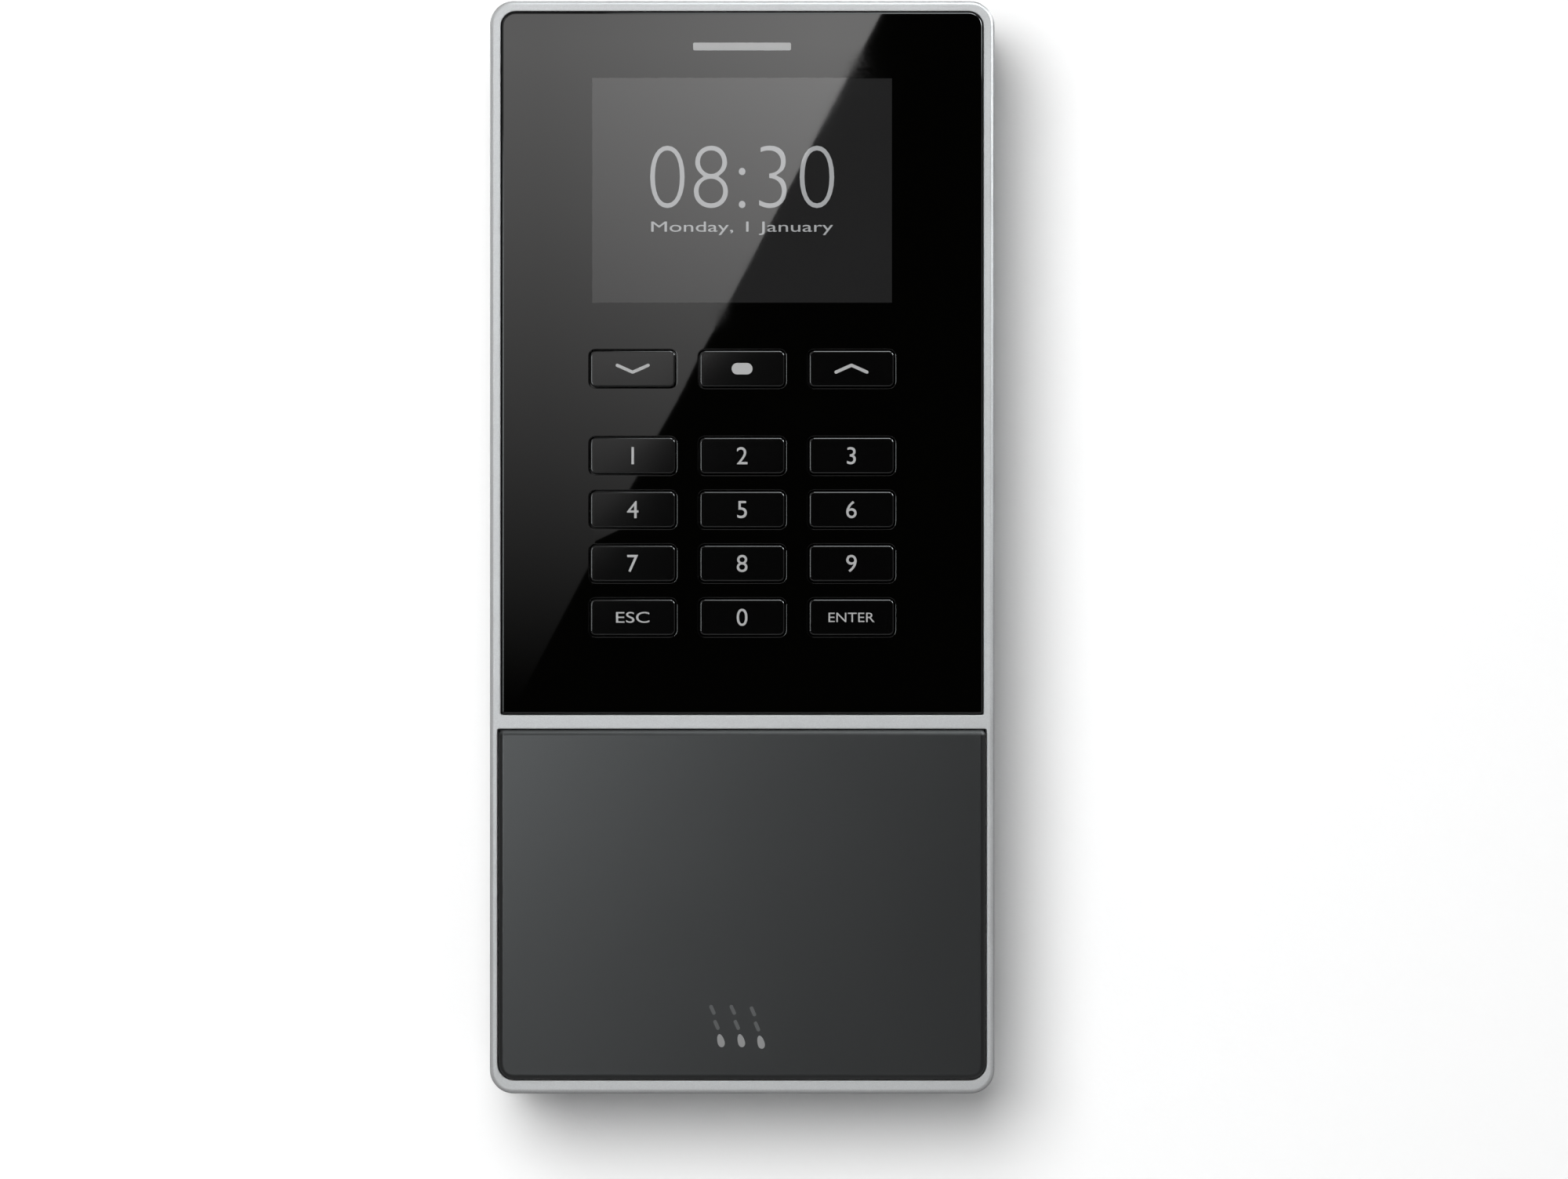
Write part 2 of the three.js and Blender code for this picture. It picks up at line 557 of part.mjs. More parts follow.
/** The cavities of the three sockets, in the order of SOCKETS. */
function socketCavities() {
  const seat = LAYER.boardRear + GAP;
  const mouth = JACKS_FACE - 1;
  const plug = centredBlock(11.8, [seat + 2.2, seat + 9], [mouth, JACKS_FACE + 14]);
  const latch = centredBlock(6.4, [seat + 1.1, seat + 3], [mouth, JACKS_FACE + 14]);
  const shroud = centredBlock(12.2, [seat + 0.5, seat + 5.3], [mouth, JACKS_FACE + 11]);
  const tongue = centredBlock(11, [seat + 2.6, seat + 4.4], [JACKS_FACE + 1, JACKS_FACE + 12]);
  const barrel = pinAlongZ(0, seat + 5.8, 3.2, [mouth, JACKS_FACE + 10]);
  const centrePin = pinAlongZ(0, seat + 5.8, 1, [JACKS_FACE + 0.8, JACKS_FACE + 11]);
  return [joined(plug, latch), cut(shroud, tongue), cut(barrel, centrePin)];
}

function sockets() {
  const cavities = socketCavities();
  const materials = [nickelSteel, nickelSteel, socketBlack];
  return SOCKETS.map((socket, i) => {
    const mesh = piece(socket.name, cut(socketBody(socket), cavities[i]), materials[i]);
    mesh.position.x = socket.x;
    return mesh;
  });
}

/** The clock's backup cell and the tray that holds it on the main board. */
function backupCell() {
  const seat = LAYER.boardRear + GAP;
  const { radius, thickness } = CELL;
  const tray = cut(
    slab(roundedRect(2 * radius + 4, 2 * radius + 4, 2), seat + thickness + 0.6, seat),
    pinAlongY(0, 0, radius + GAP, [seat + 0.8, seat + 10]),
  );
  const cell = pinAlongY(0, 0, radius, [seat + 1.1, seat + 1.1 + thickness]);
  const members = group(piece("cell_holder", tray, socketBlack), piece("backup_cell", cell, nickelSteel));
  members.position.set(CELL.x, 0, CELL.z);
  return members;
}

/** The tamper switch on the main board, and its plunger, which reaches through the rear cover to the wall plate. */
function tamperSwitch() {
  const seat = LAYER.boardRear + GAP;
  const top = seat + 8;
  const tip = LAYER.plateFront - GAP;
  const body = cut(
    block([-3, 3], [seat, top], [-3, 3]),
    pinAlongY(0, 0, 1.8, [seat + 3.4, top + 1]),
  );
  const members = group(
    piece("tamper_switch", body, socketBlack),
    piece("tamper_plunger", pinAlongY(0, 0, 1.5, [seat + 3.4 + TAMPER.travel + GAP, tip]), plungerWhite),
  );
  members.position.set(TAMPER.x, 0, TAMPER.z);
  return members;
}

function speaker() {
  const { left, right, bottom, top, front, rear } = SPEAKER;
  const middle = [(left + right) / 2, (front + rear) / 2];
  const made = cut(
    block([left, right], [front, rear], [bottom, top]),
    pinAlongZ(...middle, 4.6, [bottom - 1, bottom + 0.8]), // the diaphragm's hollow
  );
  return piece("speaker", made, chassisBlack);
}

/** Round wires inside the case: from the speaker and from the radio's antenna to the main board. */
function leads() {
  const sides = 6;
  const circle = (radius) => new THREE.Path().absarc(0, 0, radius, 0, 2 * Math.PI).getSpacedPoints(sides);
  const section = (radius) => new THREE.Shape(circle(radius).slice(0, sides));
  const speakerPath = [
    [-24, -12, SPEAKER.top + GAP], [-25.5, -12.4, -88], [-33, -13.4, -80], [-38.5, -14.2, -66],
    [-39, -14.2, -40], [-39, -14.2, -12], [-38, -14.6, 0], [-36.8, -16, 8.1],
  ];
  const antennaPath = [
    [-12, -6.4, 91.4], [-13, -7.5, 88], [-19, -11, 85], [-24, -13.6, 81.5], [-24, -15.4, 78],
  ];
  return [
    piece("speaker_lead", swept(section(0.9), speakerPath, 24), leadBlack),
    piece("antenna_lead", swept(section(0.55), antennaPath, 14), leadBlack),
  ];
}

function antenna() {
  const outline = roundedRect(34, 7, 0.5, { z: 95.2 });
  return piece("radio_antenna", slab(outline, LAYER.shellFloor - GAP, LAYER.shellFloor - GAP - 0.8), circuitGreen);
}

// ---------------------------------------------------------------- fasteners
/** A cross-head screw along Y, with its head's outer face at y = 0 and its point towards the user. */
function crossScrew(headRadius, headHeight, shankRadius, length) {
  const arm = headRadius * 1.15;
  const slot = headRadius * 0.26;
  const deep = [-headHeight * 0.55, 1];
  return cut(
    joined(
      pinAlongY(0, 0, headRadius, [-headHeight, 0]),
      pinAlongY(0, 0, shankRadius, [-headHeight - length, -headHeight + 0.2]),
    ),
    block([-arm / 2, arm / 2], deep, [-slot / 2, slot / 2]),
    block([-slot / 2, slot / 2], deep, [-arm / 2, arm / 2]),
  );
}

function screws(prefix, made, y, spots) {
  return spots.map(([x, z], i) => {
    const mesh = piece(`${prefix}_${i + 1}`, made, nickelSteel);
    mesh.position.set(x, y, z);
    return mesh;
  });
}

function fasteners() {
  const [readerX, readerZ] = SCREW_SPOTS.reader;
  const caseHead = { radius: 2.8, height: 2 };
  const smallHead = { radius: 2.2, height: 1.4 };
  const boardY = LAYER.boardRear + GAP + smallHead.height;
  const readerY = READER.rear + GAP + smallHead.height;
  const locking = piece("locking_screw", crossScrew(2.8, 2, 1.4, 14), nickelSteel);
  locking.rotation.x = -Math.PI / 2; // head down, point up
  locking.position.set(0, LOCK_Y, -103.2);
  return group(
    ...screws("case_screw", crossScrew(caseHead.radius, caseHead.height, 1.4, 15.5), -1.1, corners(...SCREW_SPOTS.case)),
    ...screws("board_screw", crossScrew(smallHead.radius, smallHead.height, 1, 5.5), boardY, boardSpots()),
    ...screws("reader_screw", crossScrew(smallHead.radius, smallHead.height, 1, 3), readerY, [
      [-readerX, readerZ],
      [readerX, readerZ],
    ]),
    locking,
  );
}

// ---------------------------------------------------------------- assembly
const terminal = group(
  rearCover(),
  bezelFrame(),
  frontChassis(),
  frontGlass(),
  glassTape(),
  readerCover(),
  displayGroup(),
  keypadGroup(),
  mainBoard(),
  readerBoard(),
  ...sockets(),
  backupCell(),
  tamperSwitch(),
  speaker(),
  ...leads(),
  antenna(),
  ribbon("display_ribbon", 20, 0, [[-24.3, 64], [-24.3, 56], [-24.2, 50.5], [-22.6, 47.6], [-21.2, 45.8]]),
  ribbon("reader_ribbon", 12, 12, [[-21, -23.9], [-21, -28], [-21.8, -36], [-23.1, -40], [-23.3, -43.7]]),
  fasteners(),
);

const timeClock = group(wallPlate(), terminal);

export default timeClock;
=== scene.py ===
"""Looks of a wall-mounted punch time clock: silver frame, black glass, keypad, display and badge cover.

Every length in the classes below is in millimetres. A shape is scaled to metres once, when it is finished.
X runs to the right of a person who faces the clock, Y runs into the wall and Z is up.
"""

import logging
import math
from dataclasses import dataclass, field
from enum import Enum
from typing import Any, Callable, ClassVar, Iterable, Optional, Sequence

import bmesh
import bpy
from mathutils import Matrix, Vector

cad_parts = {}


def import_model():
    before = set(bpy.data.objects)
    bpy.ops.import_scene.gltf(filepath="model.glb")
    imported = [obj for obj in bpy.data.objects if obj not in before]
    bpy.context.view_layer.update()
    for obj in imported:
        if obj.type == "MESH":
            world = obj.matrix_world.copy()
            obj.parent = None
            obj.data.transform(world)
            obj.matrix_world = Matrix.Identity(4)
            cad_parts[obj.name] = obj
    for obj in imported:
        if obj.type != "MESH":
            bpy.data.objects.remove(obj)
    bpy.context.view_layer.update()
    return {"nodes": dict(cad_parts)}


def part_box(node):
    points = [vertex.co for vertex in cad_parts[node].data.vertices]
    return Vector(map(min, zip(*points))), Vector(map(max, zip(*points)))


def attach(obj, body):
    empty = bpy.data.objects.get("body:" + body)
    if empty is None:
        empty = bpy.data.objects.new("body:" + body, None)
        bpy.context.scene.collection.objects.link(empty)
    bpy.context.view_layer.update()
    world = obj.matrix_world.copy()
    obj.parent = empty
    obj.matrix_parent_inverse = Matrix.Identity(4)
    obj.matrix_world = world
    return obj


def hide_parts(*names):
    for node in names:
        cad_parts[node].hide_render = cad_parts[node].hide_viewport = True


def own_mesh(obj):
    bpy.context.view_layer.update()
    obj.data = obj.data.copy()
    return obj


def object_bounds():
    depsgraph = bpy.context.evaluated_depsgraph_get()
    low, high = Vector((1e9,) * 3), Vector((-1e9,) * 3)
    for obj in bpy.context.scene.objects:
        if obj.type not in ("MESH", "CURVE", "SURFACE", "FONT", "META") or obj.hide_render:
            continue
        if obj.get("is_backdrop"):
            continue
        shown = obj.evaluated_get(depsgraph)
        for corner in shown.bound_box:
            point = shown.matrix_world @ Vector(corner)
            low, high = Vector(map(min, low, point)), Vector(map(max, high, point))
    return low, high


logging.basicConfig(level=logging.INFO, format="%(message)s")
log = logging.getLogger("time_clock")

MM = 0.001  # metres in a millimetre
MERGE = 1e-4  # points closer than this are one point, in millimetres
BENT = math.radians(20)  # an edge whose faces turn by more than this is a real edge
PAST = 1.0  # how far a cutting shape reaches past what it cuts, in millimetres

Colour = tuple[float, float, float]
Box = tuple[tuple[float, float, float], tuple[float, float, float]]  # the lowest and the highest corner
Bore = tuple[float, float, float]  # where a round hole or post starts on its axis, its length and its radius
EdgeTest = Callable[[bmesh.types.BMEdge], bool]
FaceTest = Callable[[bmesh.types.BMFace], bool]


# ------------------------------------------------------------------ places from the frame
@dataclass(frozen=True)
class Span:
    """The box of a CAD node, in millimetres."""

    low: Vector
    high: Vector

    @classmethod
    def of(cls, node: str) -> "Span":
        """The box of the CAD node with this name."""
        low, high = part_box(node)
        return cls(low / MM, high / MM)

    @property
    def centre(self) -> Vector:
        """The middle of the box."""
        return (self.low + self.high) / 2

    @property
    def size(self) -> Vector:
        """The box's lengths along X, Y and Z."""
        return self.high - self.low


# ------------------------------------------------------------------ modelling
class Cut(Enum):
    """How one shape acts on another."""

    AWAY = "DIFFERENCE"
    ON = "UNION"


def rim_at(axis: int, value: float, tolerance: float = 1e-3) -> EdgeTest:
    """A test for edges that lie in a plane and bend there.

    Args:
        axis: The plane's axis, 0 to 2.
        value: The plane's place on that axis.
        tolerance: How far off the plane an end may lie.

    Returns:
        The test.
    """

    def test(edge: bmesh.types.BMEdge) -> bool:
        """True for a bent edge in the plane."""
        flat = all(abs(v.co[axis] - value) < tolerance for v in edge.verts)
        return flat and edge.calc_face_angle(0.0) > BENT

    return test


def column_edges(axis: int) -> EdgeTest:
    """A test for edges that run along an axis and bend there.

    Args:
        axis: The axis, 0 to 2.

    Returns:
        The test.
    """

    def test(edge: bmesh.types.BMEdge) -> bool:
        """True for a bent edge along the axis."""
        run = (edge.verts[1].co - edge.verts[0].co).normalized()
        return abs(run[axis]) > 0.999 and edge.calc_face_angle(0.0) > BENT

    return test


class Shape:
    """A closed solid in the making, in millimetres."""

    def __init__(self) -> None:
        """Starts with nothing."""
        self.bm = bmesh.new()

    @classmethod
    def block(cls, low: Sequence[float], high: Sequence[float]) -> "Shape":
        """A box between two corners.

        Args:
            low: The lowest corner.
            high: The highest corner.

        Returns:
            The box.
        """
        shape = cls()
        a, b = Vector(low), Vector(high)
        place = Matrix.Translation((a + b) / 2) @ Matrix.Diagonal((*(b - a), 1.0))
        bmesh.ops.create_cube(shape.bm, size=1.0, matrix=place)
        return shape

    @classmethod
    def slab(
        cls,
        low: Sequence[float],
        high: Sequence[float],
        radius: float,
        bottom_radius: Optional[float] = None,
        segments: int = 8,
    ) -> "Shape":
        """A box whose corners are round as seen from the front.

        Args:
            low: The lowest corner.
            high: The highest corner.
            radius: The radius of the upper corners.
            bottom_radius: The radius of the lower corners, the same if it isn't given.
            segments: The faces round each corner.

        Returns:
            The slab.
        """
        shape = cls.block(low, high)
        middle = (low[2] + high[2]) / 2
        along = column_edges(1)
        shape.bevel(lambda e: along(e) and e.verts[0].co.z > middle, radius, segments)
        lower = radius if bottom_radius is None else bottom_radius
        shape.bevel(
            lambda e: along(e) and e.verts[0].co.z < middle and len(e.link_faces[0].verts) > 3, lower, segments
        )
        return shape

    @classmethod
    def pin(
        cls,
        foot: Sequence[float],
        axis: int,
        length: float,
        radius: float,
        end_radius: Optional[float] = None,
        sides: int = 32,
    ) -> "Shape":
        """A round pin, or a cone, along an axis.

        Args:
            foot: The middle of its lower end.
            axis: The axis it runs along, 0 to 2.
            length: How far it runs.
            radius: Its radius at the foot.
            end_radius: Its radius at the other end, the same if it isn't given.
            sides: The faces round it.

        Returns:
            The pin.
        """
        shape = cls()
        quarter = math.pi / 2
        turn = (Matrix.Rotation(quarter, 4, "Y"), Matrix.Rotation(-quarter, 4, "X"), Matrix.Identity(4))
        offset = Vector((0, 0, 0))
        offset[axis] = length / 2
        bmesh.ops.create_cone(
            shape.bm,
            cap_ends=True,
            segments=sides,
            radius1=radius,
            radius2=radius if end_radius is None else end_radius,
            depth=length,
            matrix=Matrix.Translation(Vector(foot) + offset) @ turn[axis],
        )
        return shape

    @classmethod
    def turned(cls, profile: Sequence[tuple[float, float]], steps: int = 40) -> "Shape":
        """A solid of revolution about the Z axis.

        Args:
            profile: (radius, height) points, which start and end on the axis.
            steps: The faces round it.

        Returns:
            The solid.
        """
        shape = cls()
        verts = [shape.bm.verts.new((radius, 0.0, height)) for radius, height in profile]
        edges = [shape.bm.edges.new(pair) for pair in zip(verts, verts[1:])]
        bmesh.ops.spin(
            shape.bm, geom=verts + edges, cent=(0, 0, 0), axis=(0, 0, 1), angle=2 * math.pi, steps=steps, use_merge=True
        )
        bmesh.ops.remove_doubles(shape.bm, verts=shape.bm.verts, dist=MERGE)
        return shape.outward()

    @classmethod
    def writing(cls, text: str, centre: Sequence[float], height: float, depth: float, **look: float) -> "Shape":
        """Raised writing that faces the user.

        Args:
            text: What it says.
            centre: The middle of its back, at the surface that it lies on.
            height: The height of the writing.
            depth: How far it stands out.
            look: width for a set overall width, and thin for how much the strokes are thinned.

        Returns:
            The writing.
        """
        curve = bpy.data.curves.new("writing", "FONT")
        curve.body = text
        curve.extrude = 0.05
        curve.resolution_u = 6
        curve.offset = -look.get("thin", 0.0)
        holder = bpy.data.objects.new("writing", curve)
        bpy.context.scene.collection.objects.link(holder)
        bpy.context.view_layer.update()
        evaluated = holder.evaluated_get(bpy.context.evaluated_depsgraph_get())
        shape = cls()
        shape.bm.from_mesh(evaluated.to_mesh())
        bpy.data.objects.remove(holder)
        bpy.data.curves.remove(curve)
        bmesh.ops.remove_doubles(shape.bm, verts=shape.bm.verts, dist=1e-5)
        low, high = shape.limits()
        grow = height / (high.y - low.y)
        across = look["width"] / (high.x - low.x) if "width" in look else grow
        middle = (low + high) / 2
        place = (
            Matrix.Translation(Vector(centre) - Vector((0, depth / 2, 0)))
            @ Matrix.Rotation(math.pi / 2, 4, "X")
            @ Matrix.Diagonal((across, grow, depth / (high.z - low.z), 1.0))
            @ Matrix.Translation(-middle)
        )
        bmesh.ops.transform(shape.bm, matrix=place, verts=shape.bm.verts)
        return shape

    def limits(self) -> tuple[Vector, Vector]:
        """The lowest and highest corners of the shape."""
        points = [v.co for v in self.bm.verts]
        low = Vector([min(p[i] for p in points) for i in range(3)])
        high = Vector([max(p[i] for p in points) for i in range(3)])
        return low, high

    def outward(self) -> "Shape":
        """Turns every face outwards."""
        bmesh.ops.recalc_face_normals(self.bm, faces=self.bm.faces)
        return self

    def bevel(self, pick: EdgeTest, width: float, segments: int = 3) -> "Shape":
        """Rounds the edges that a test picks.

        Args:
            pick: The test.
            width: How far the rounding reaches from the edge.
            segments: The faces across it.

        Returns:
            This shape.
        """
        self.bm.normal_update()
        edges = [edge for edge in self.bm.edges if pick(edge)]
        bmesh.ops.bevel(
            self.bm,
            geom=edges,
            offset=width,
            offset_type="OFFSET",
            segments=segments,
            profile=0.5,
            affect="EDGES",
            clamp_overlap=True,
            material=-1,
        )
        return self

    def moved(self, by: Sequence[float]) -> "Shape":
        """Moves the shape."""
        bmesh.ops.translate(self.bm, vec=Vector(by), verts=self.bm.verts)
        return self

    def turned_by(self, angle: float, axis: str) -> "Shape":
        """Turns the shape about the origin, by an angle in radians."""
        bmesh.ops.rotate(self.bm, cent=(0, 0, 0), matrix=Matrix.Rotation(angle, 3, axis), verts=self.bm.verts)
        return self

    def split_at(self, axis: int, value: float) -> "Shape":
        """Cuts the faces along a plane, and keeps both halves joined.

        Args:
            axis: The plane's axis, 0 to 2.
            value: The plane's place on that axis.

        Returns:
            This shape.
        """
        normal = Vector((0, 0, 0))
        normal[axis] = 1.0
        geometry = self.bm.verts[:] + self.bm.edges[:] + self.bm.faces[:]
        bmesh.ops.bisect_plane(self.bm, geom=geometry, dist=MERGE, plane_co=normal * value, plane_no=normal)
        return self

    def paint(self, pick: FaceTest, material_index: int) -> "Shape":
        """Gives the faces that a test picks another of the piece's materials.

        Args:
            pick: The test.
            material_index: The material's place in the piece's list.

        Returns:
            This shape.
        """
        self.bm.normal_update()
        for face in self.bm.faces:
            if pick(face):
                face.material_index = material_index
        return self

    def with_shapes(self, others: Iterable["Shape"], cut: Cut) -> "Shape":
        """Joins other shapes on, or cuts them away.

        Args:
            others: The other shapes, which are used up.
            cut: What they do to this one.

        Returns:
            This shape.
        """
        collection = bpy.context.scene.collection
        holder = bpy.data.objects.new("shape", self._mesh("shape"))
        collection.objects.link(holder)
        helpers = []
        for other in others:
            helper = bpy.data.objects.new("tool", other._mesh("tool"))
            collection.objects.link(helper)
            helpers.append(helper)
            step = holder.modifiers.new("cut", "BOOLEAN")
            step.operation, step.object, step.solver = cut.value, helper, "EXACT"
        evaluated = holder.evaluated_get(bpy.context.evaluated_depsgraph_get())
        self.bm.clear()
        self.bm.from_mesh(evaluated.to_mesh())
        for made in (holder, *helpers):
            mesh = made.data
            bpy.data.objects.remove(made)
            bpy.data.meshes.remove(mesh)
        bmesh.ops.remove_doubles(self.bm, verts=self.bm.verts, dist=MERGE)
        bmesh.ops.dissolve_limit(
            self.bm,
            angle_limit=math.radians(0.2),
            verts=self.bm.verts,
            edges=self.bm.edges,
            delimit={"MATERIAL"},
        )
        return self

    def less(self, *others: "Shape") -> "Shape":
        """Cuts other shapes away from this one."""
        return self.with_shapes(others, Cut.AWAY)

    def plus(self, *others: "Shape") -> "Shape":
        """Joins other shapes onto this one."""
        return self.with_shapes(others, Cut.ON)

    def _mesh(self, name: str) -> bpy.types.Mesh:
        """The shape as a mesh data block.

        Args:
            name: The block's name.

        Returns:
            The block.
        """
        mesh = bpy.data.meshes.new(name)
        self.bm.to_mesh(mesh)
        return mesh


@dataclass
class Piece:
    """A finished piece of the clock: a shape with its materials, on its body."""

    name: str
    shape: Shape
    body: str
    slot: str
    materials: Sequence[bpy.types.Material]
    replaces: Sequence[str] = ()
    smooth_below: float = 32.0  # degrees between faces that still shade as one surface

    def place(self) -> bpy.types.Object:
        """Makes the object, in metres, and puts it on its body."""
        bm = self.shape.bm
        bmesh.ops.scale(bm, vec=(MM,) * 3, verts=bm.verts)
        mesh = bpy.data.meshes.new(self.name)
        bm.to_mesh(mesh)
        bm.free()
        for material in self.materials:
            mesh.materials.append(material)
        mesh.polygons.foreach_set("use_smooth", [True] * len(mesh.polygons))
        mesh.set_sharp_from_angle(angle=math.radians(self.smooth_below))
        piece = bpy.data.objects.new(self.name, mesh)
        bpy.context.scene.collection.objects.link(piece)
        weighted = piece.modifiers.new("flat_faces", "WEIGHTED_NORMAL")
        weighted.keep_sharp = True
        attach(piece, self.body)
        if self.replaces:
            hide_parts(*self.replaces)
        log.info("%s: %d faces, on %s", self.name, len(mesh.polygons), self.body)
        return piece


# ------------------------------------------------------------------ shader graphs
class Graph:
    """Adds nodes to a tree and links them."""

    def __init__(self, tree: bpy.types.NodeTree) -> None:
        """Takes the tree to build in."""
        self.tree = tree

    def add(self, kind: str, inputs: Optional[dict[Any, Any]] = None, **settings: Any) -> bpy.types.Node:
        """Adds a node.

        Args:
            kind: The node's type, without the ShaderNode in front.
            inputs: A value, or a socket to link from, for each input by name or number.
            settings: The node's own settings.

        Returns:
            The node.
        """
        node = self.tree.nodes.new("ShaderNode" + kind)
        for name, value in settings.items():
            setattr(node, name, value)
        for name, value in (inputs or {}).items():
            self.feed(node.inputs[name], value)
        return node

    def feed(self, socket: bpy.types.NodeSocket, value: Any) -> None:
        """Links a socket to an input, or sets the input to a value.

        Args:
            socket: The input.
            value: The socket to link from, or the value.
        """
        if isinstance(value, bpy.types.NodeSocket):
            self.tree.links.new(value, socket)
        else:
            socket.default_value = value

    def math(self, operation: str, *values: Any, clamp: bool = False) -> bpy.types.NodeSocket:
        """The result of a Math node."""
        node = self.add("Math", dict(enumerate(values)), operation=operation, use_clamp=clamp)
        return node.outputs[0]

    def ramp(
        self, value: Any, low: float, high: float, to_low: float = 0.0, to_high: float = 1.0
    ) -> bpy.types.NodeSocket:
        """A value moved smoothly from one range to another.

        Args:
            value: The value.
            low: The start of its range.
            high: The end of its range.
            to_low: What the start becomes.
            to_high: What the end becomes.

        Returns:
            The moved value.
        """
        inputs = {"Value": value, "From Min": low, "From Max": high, "To Min": to_low, "To Max": to_high}
        return self.add("MapRange", inputs, interpolation_type="SMOOTHSTEP").outputs[0]

    def blend(self, factor: Any, a: Any, b: Any) -> bpy.types.NodeSocket:
        """A colour between two others."""
        node = self.add("Mix", {0: factor, 6: a, 7: b}, data_type="RGBA")
        return node.outputs[2]

    def noise(self, vector: Any, scale: Any, detail: float = 3.0) -> bpy.types.NodeSocket:
        """Smooth noise from 0 to 1."""
        return self.add("TexNoise", {"Vector": vector, "Scale": scale, "Detail": detail}).outputs["Fac"]


class Effect(Enum):
    """The surface effects that several finishes share."""

    GRAIN = "moulded_grain"
    WEAR = "worn_edges"
    DUST = "settled_dust"
    SMUDGES = "finger_smudges"
    BRUSHED = "brushed_lines"


class EffectGroups:
    """Builds each shared effect's node group once."""

    def __init__(self) -> None:
        """Starts with no groups."""
        self._made: dict[Effect, bpy.types.NodeTree] = {}

    def get(self, effect: Effect) -> bpy.types.NodeTree:
        """The node group of an effect, made at its first use.

        Args:
            effect: The effect.

        Returns:
            Its node group.
        """
        if effect not in self._made:
            builder = {
                Effect.GRAIN: self._grain,
                Effect.WEAR: self._wear,
                Effect.DUST: self._dust,
                Effect.SMUDGES: self._smudges,
                Effect.BRUSHED: self._brushed,
            }[effect]
            self._made[effect] = builder(effect.value)
        return self._made[effect]

    @staticmethod
    def _new(name: str, inputs: dict[str, tuple[str, Any]], outputs: Sequence[str]) -> tuple[Graph, Any, Any]:
        """Starts a group.

        Args:
            name: The group's name.
            inputs: The socket type and starting value of each input by name.
            outputs: The names of the outputs, all of them numbers.

        Returns:
            The graph, the group's input node and its output node.
        """
        tree = bpy.data.node_groups.new(name, "ShaderNodeTree")
        for label, (kind, value) in inputs.items():
            socket = tree.interface.new_socket(label, in_out="INPUT", socket_type="NodeSocket" + kind)
            if value is not None:
                socket.default_value = value
        for label in outputs:
            tree.interface.new_socket(label, in_out="OUTPUT", socket_type="NodeSocketFloat")
        return Graph(tree), tree.nodes.new("NodeGroupInput"), tree.nodes.new("NodeGroupOutput")

    def _grain(self, name: str) -> bpy.types.NodeTree:
        """Fine moulded grain, with a slow mottle.

        Args:
            name: The group's name.

        Returns:
            The group.
        """
        graph, source, out = self._new(
            name, {"Vector": ("Vector", None), "Scale": ("Float", 2600.0)}, ["Height", "Mottle"]
        )
        vector, scale = source.outputs["Vector"], source.outputs["Scale"]
        graph.feed(out.inputs["Height"], graph.noise(vector, scale, 2.0))
        slow = graph.noise(vector, graph.math("MULTIPLY", scale, 0.02), 4.0)
        graph.feed(out.inputs["Mottle"], graph.ramp(slow, 0.3, 0.7))
        return graph.tree

    def _wear(self, name: str) -> bpy.types.NodeTree:
        """A mask of rubbed outer edges, broken up by noise.

        Args:
            name: The group's name.

        Returns:
            The group.
        """
        graph, source, out = self._new(name, {"Vector": ("Vector", None), "Amount": ("Float", 0.5)}, ["Mask"])
        geometry = graph.add("NewGeometry").outputs
        rounded = graph.add("Bevel", {"Radius": 0.0005}, samples=4).outputs[0]
        bend = graph.add("VectorMath", {0: rounded, 1: geometry["Normal"]}, operation="DOT_PRODUCT").outputs["Value"]
        turning = graph.ramp(bend, 0.90, 0.995, 1.0, 0.0)
        edge = graph.math("MULTIPLY", turning, graph.ramp(geometry["Pointiness"], 0.5, 0.53))
        patches = graph.ramp(graph.noise(source.outputs["Vector"], 260.0, 5.0), 0.45, 0.7)
        mask = graph.math("MULTIPLY", graph.math("MULTIPLY", edge, patches), source.outputs["Amount"], clamp=True)
        graph.feed(out.inputs["Mask"], mask)
        return graph.tree

    def _dust(self, name: str) -> bpy.types.NodeTree:
        """A mask of dust on the surfaces that face up.

        Args:
            name: The group's name.

        Returns:
            The group.
        """
        graph, source, out = self._new(name, {"Vector": ("Vector", None), "Amount": ("Float", 0.3)}, ["Mask"])
        normal = graph.add("SeparateXYZ", {0: graph.add("NewGeometry").outputs["Normal"]}).outputs[2]
        up = graph.ramp(normal, 0.35, 1.0)
        speckle = graph.ramp(graph.noise(source.outputs["Vector"], 900.0, 6.0), 0.35, 0.75)
        mask = graph.math("MULTIPLY", graph.math("MULTIPLY", up, speckle), source.outputs["Amount"], clamp=True)
        graph.feed(out.inputs["Mask"], mask)
        return graph.tree

    def _smudges(self, name: str) -> bpy.types.NodeTree:
        """Faint finger marks, as an addition to roughness.

        Args:
            name: The group's name.

        Returns:
            The group.
        """
        graph, source, out = self._new(name, {"Vector": ("Vector", None), "Amount": ("Float", 0.02)}, ["Roughness"])
        vector = source.outputs["Vector"]
        prints = graph.ramp(graph.noise(vector, 38.0, 2.0), 0.52, 0.72)
        ridges = graph.noise(vector, 1400.0, 1.0)
        amount = graph.math("MULTIPLY", graph.math("MULTIPLY", prints, ridges), source.outputs["Amount"])
        graph.feed(out.inputs["Roughness"], amount)
        return graph.tree

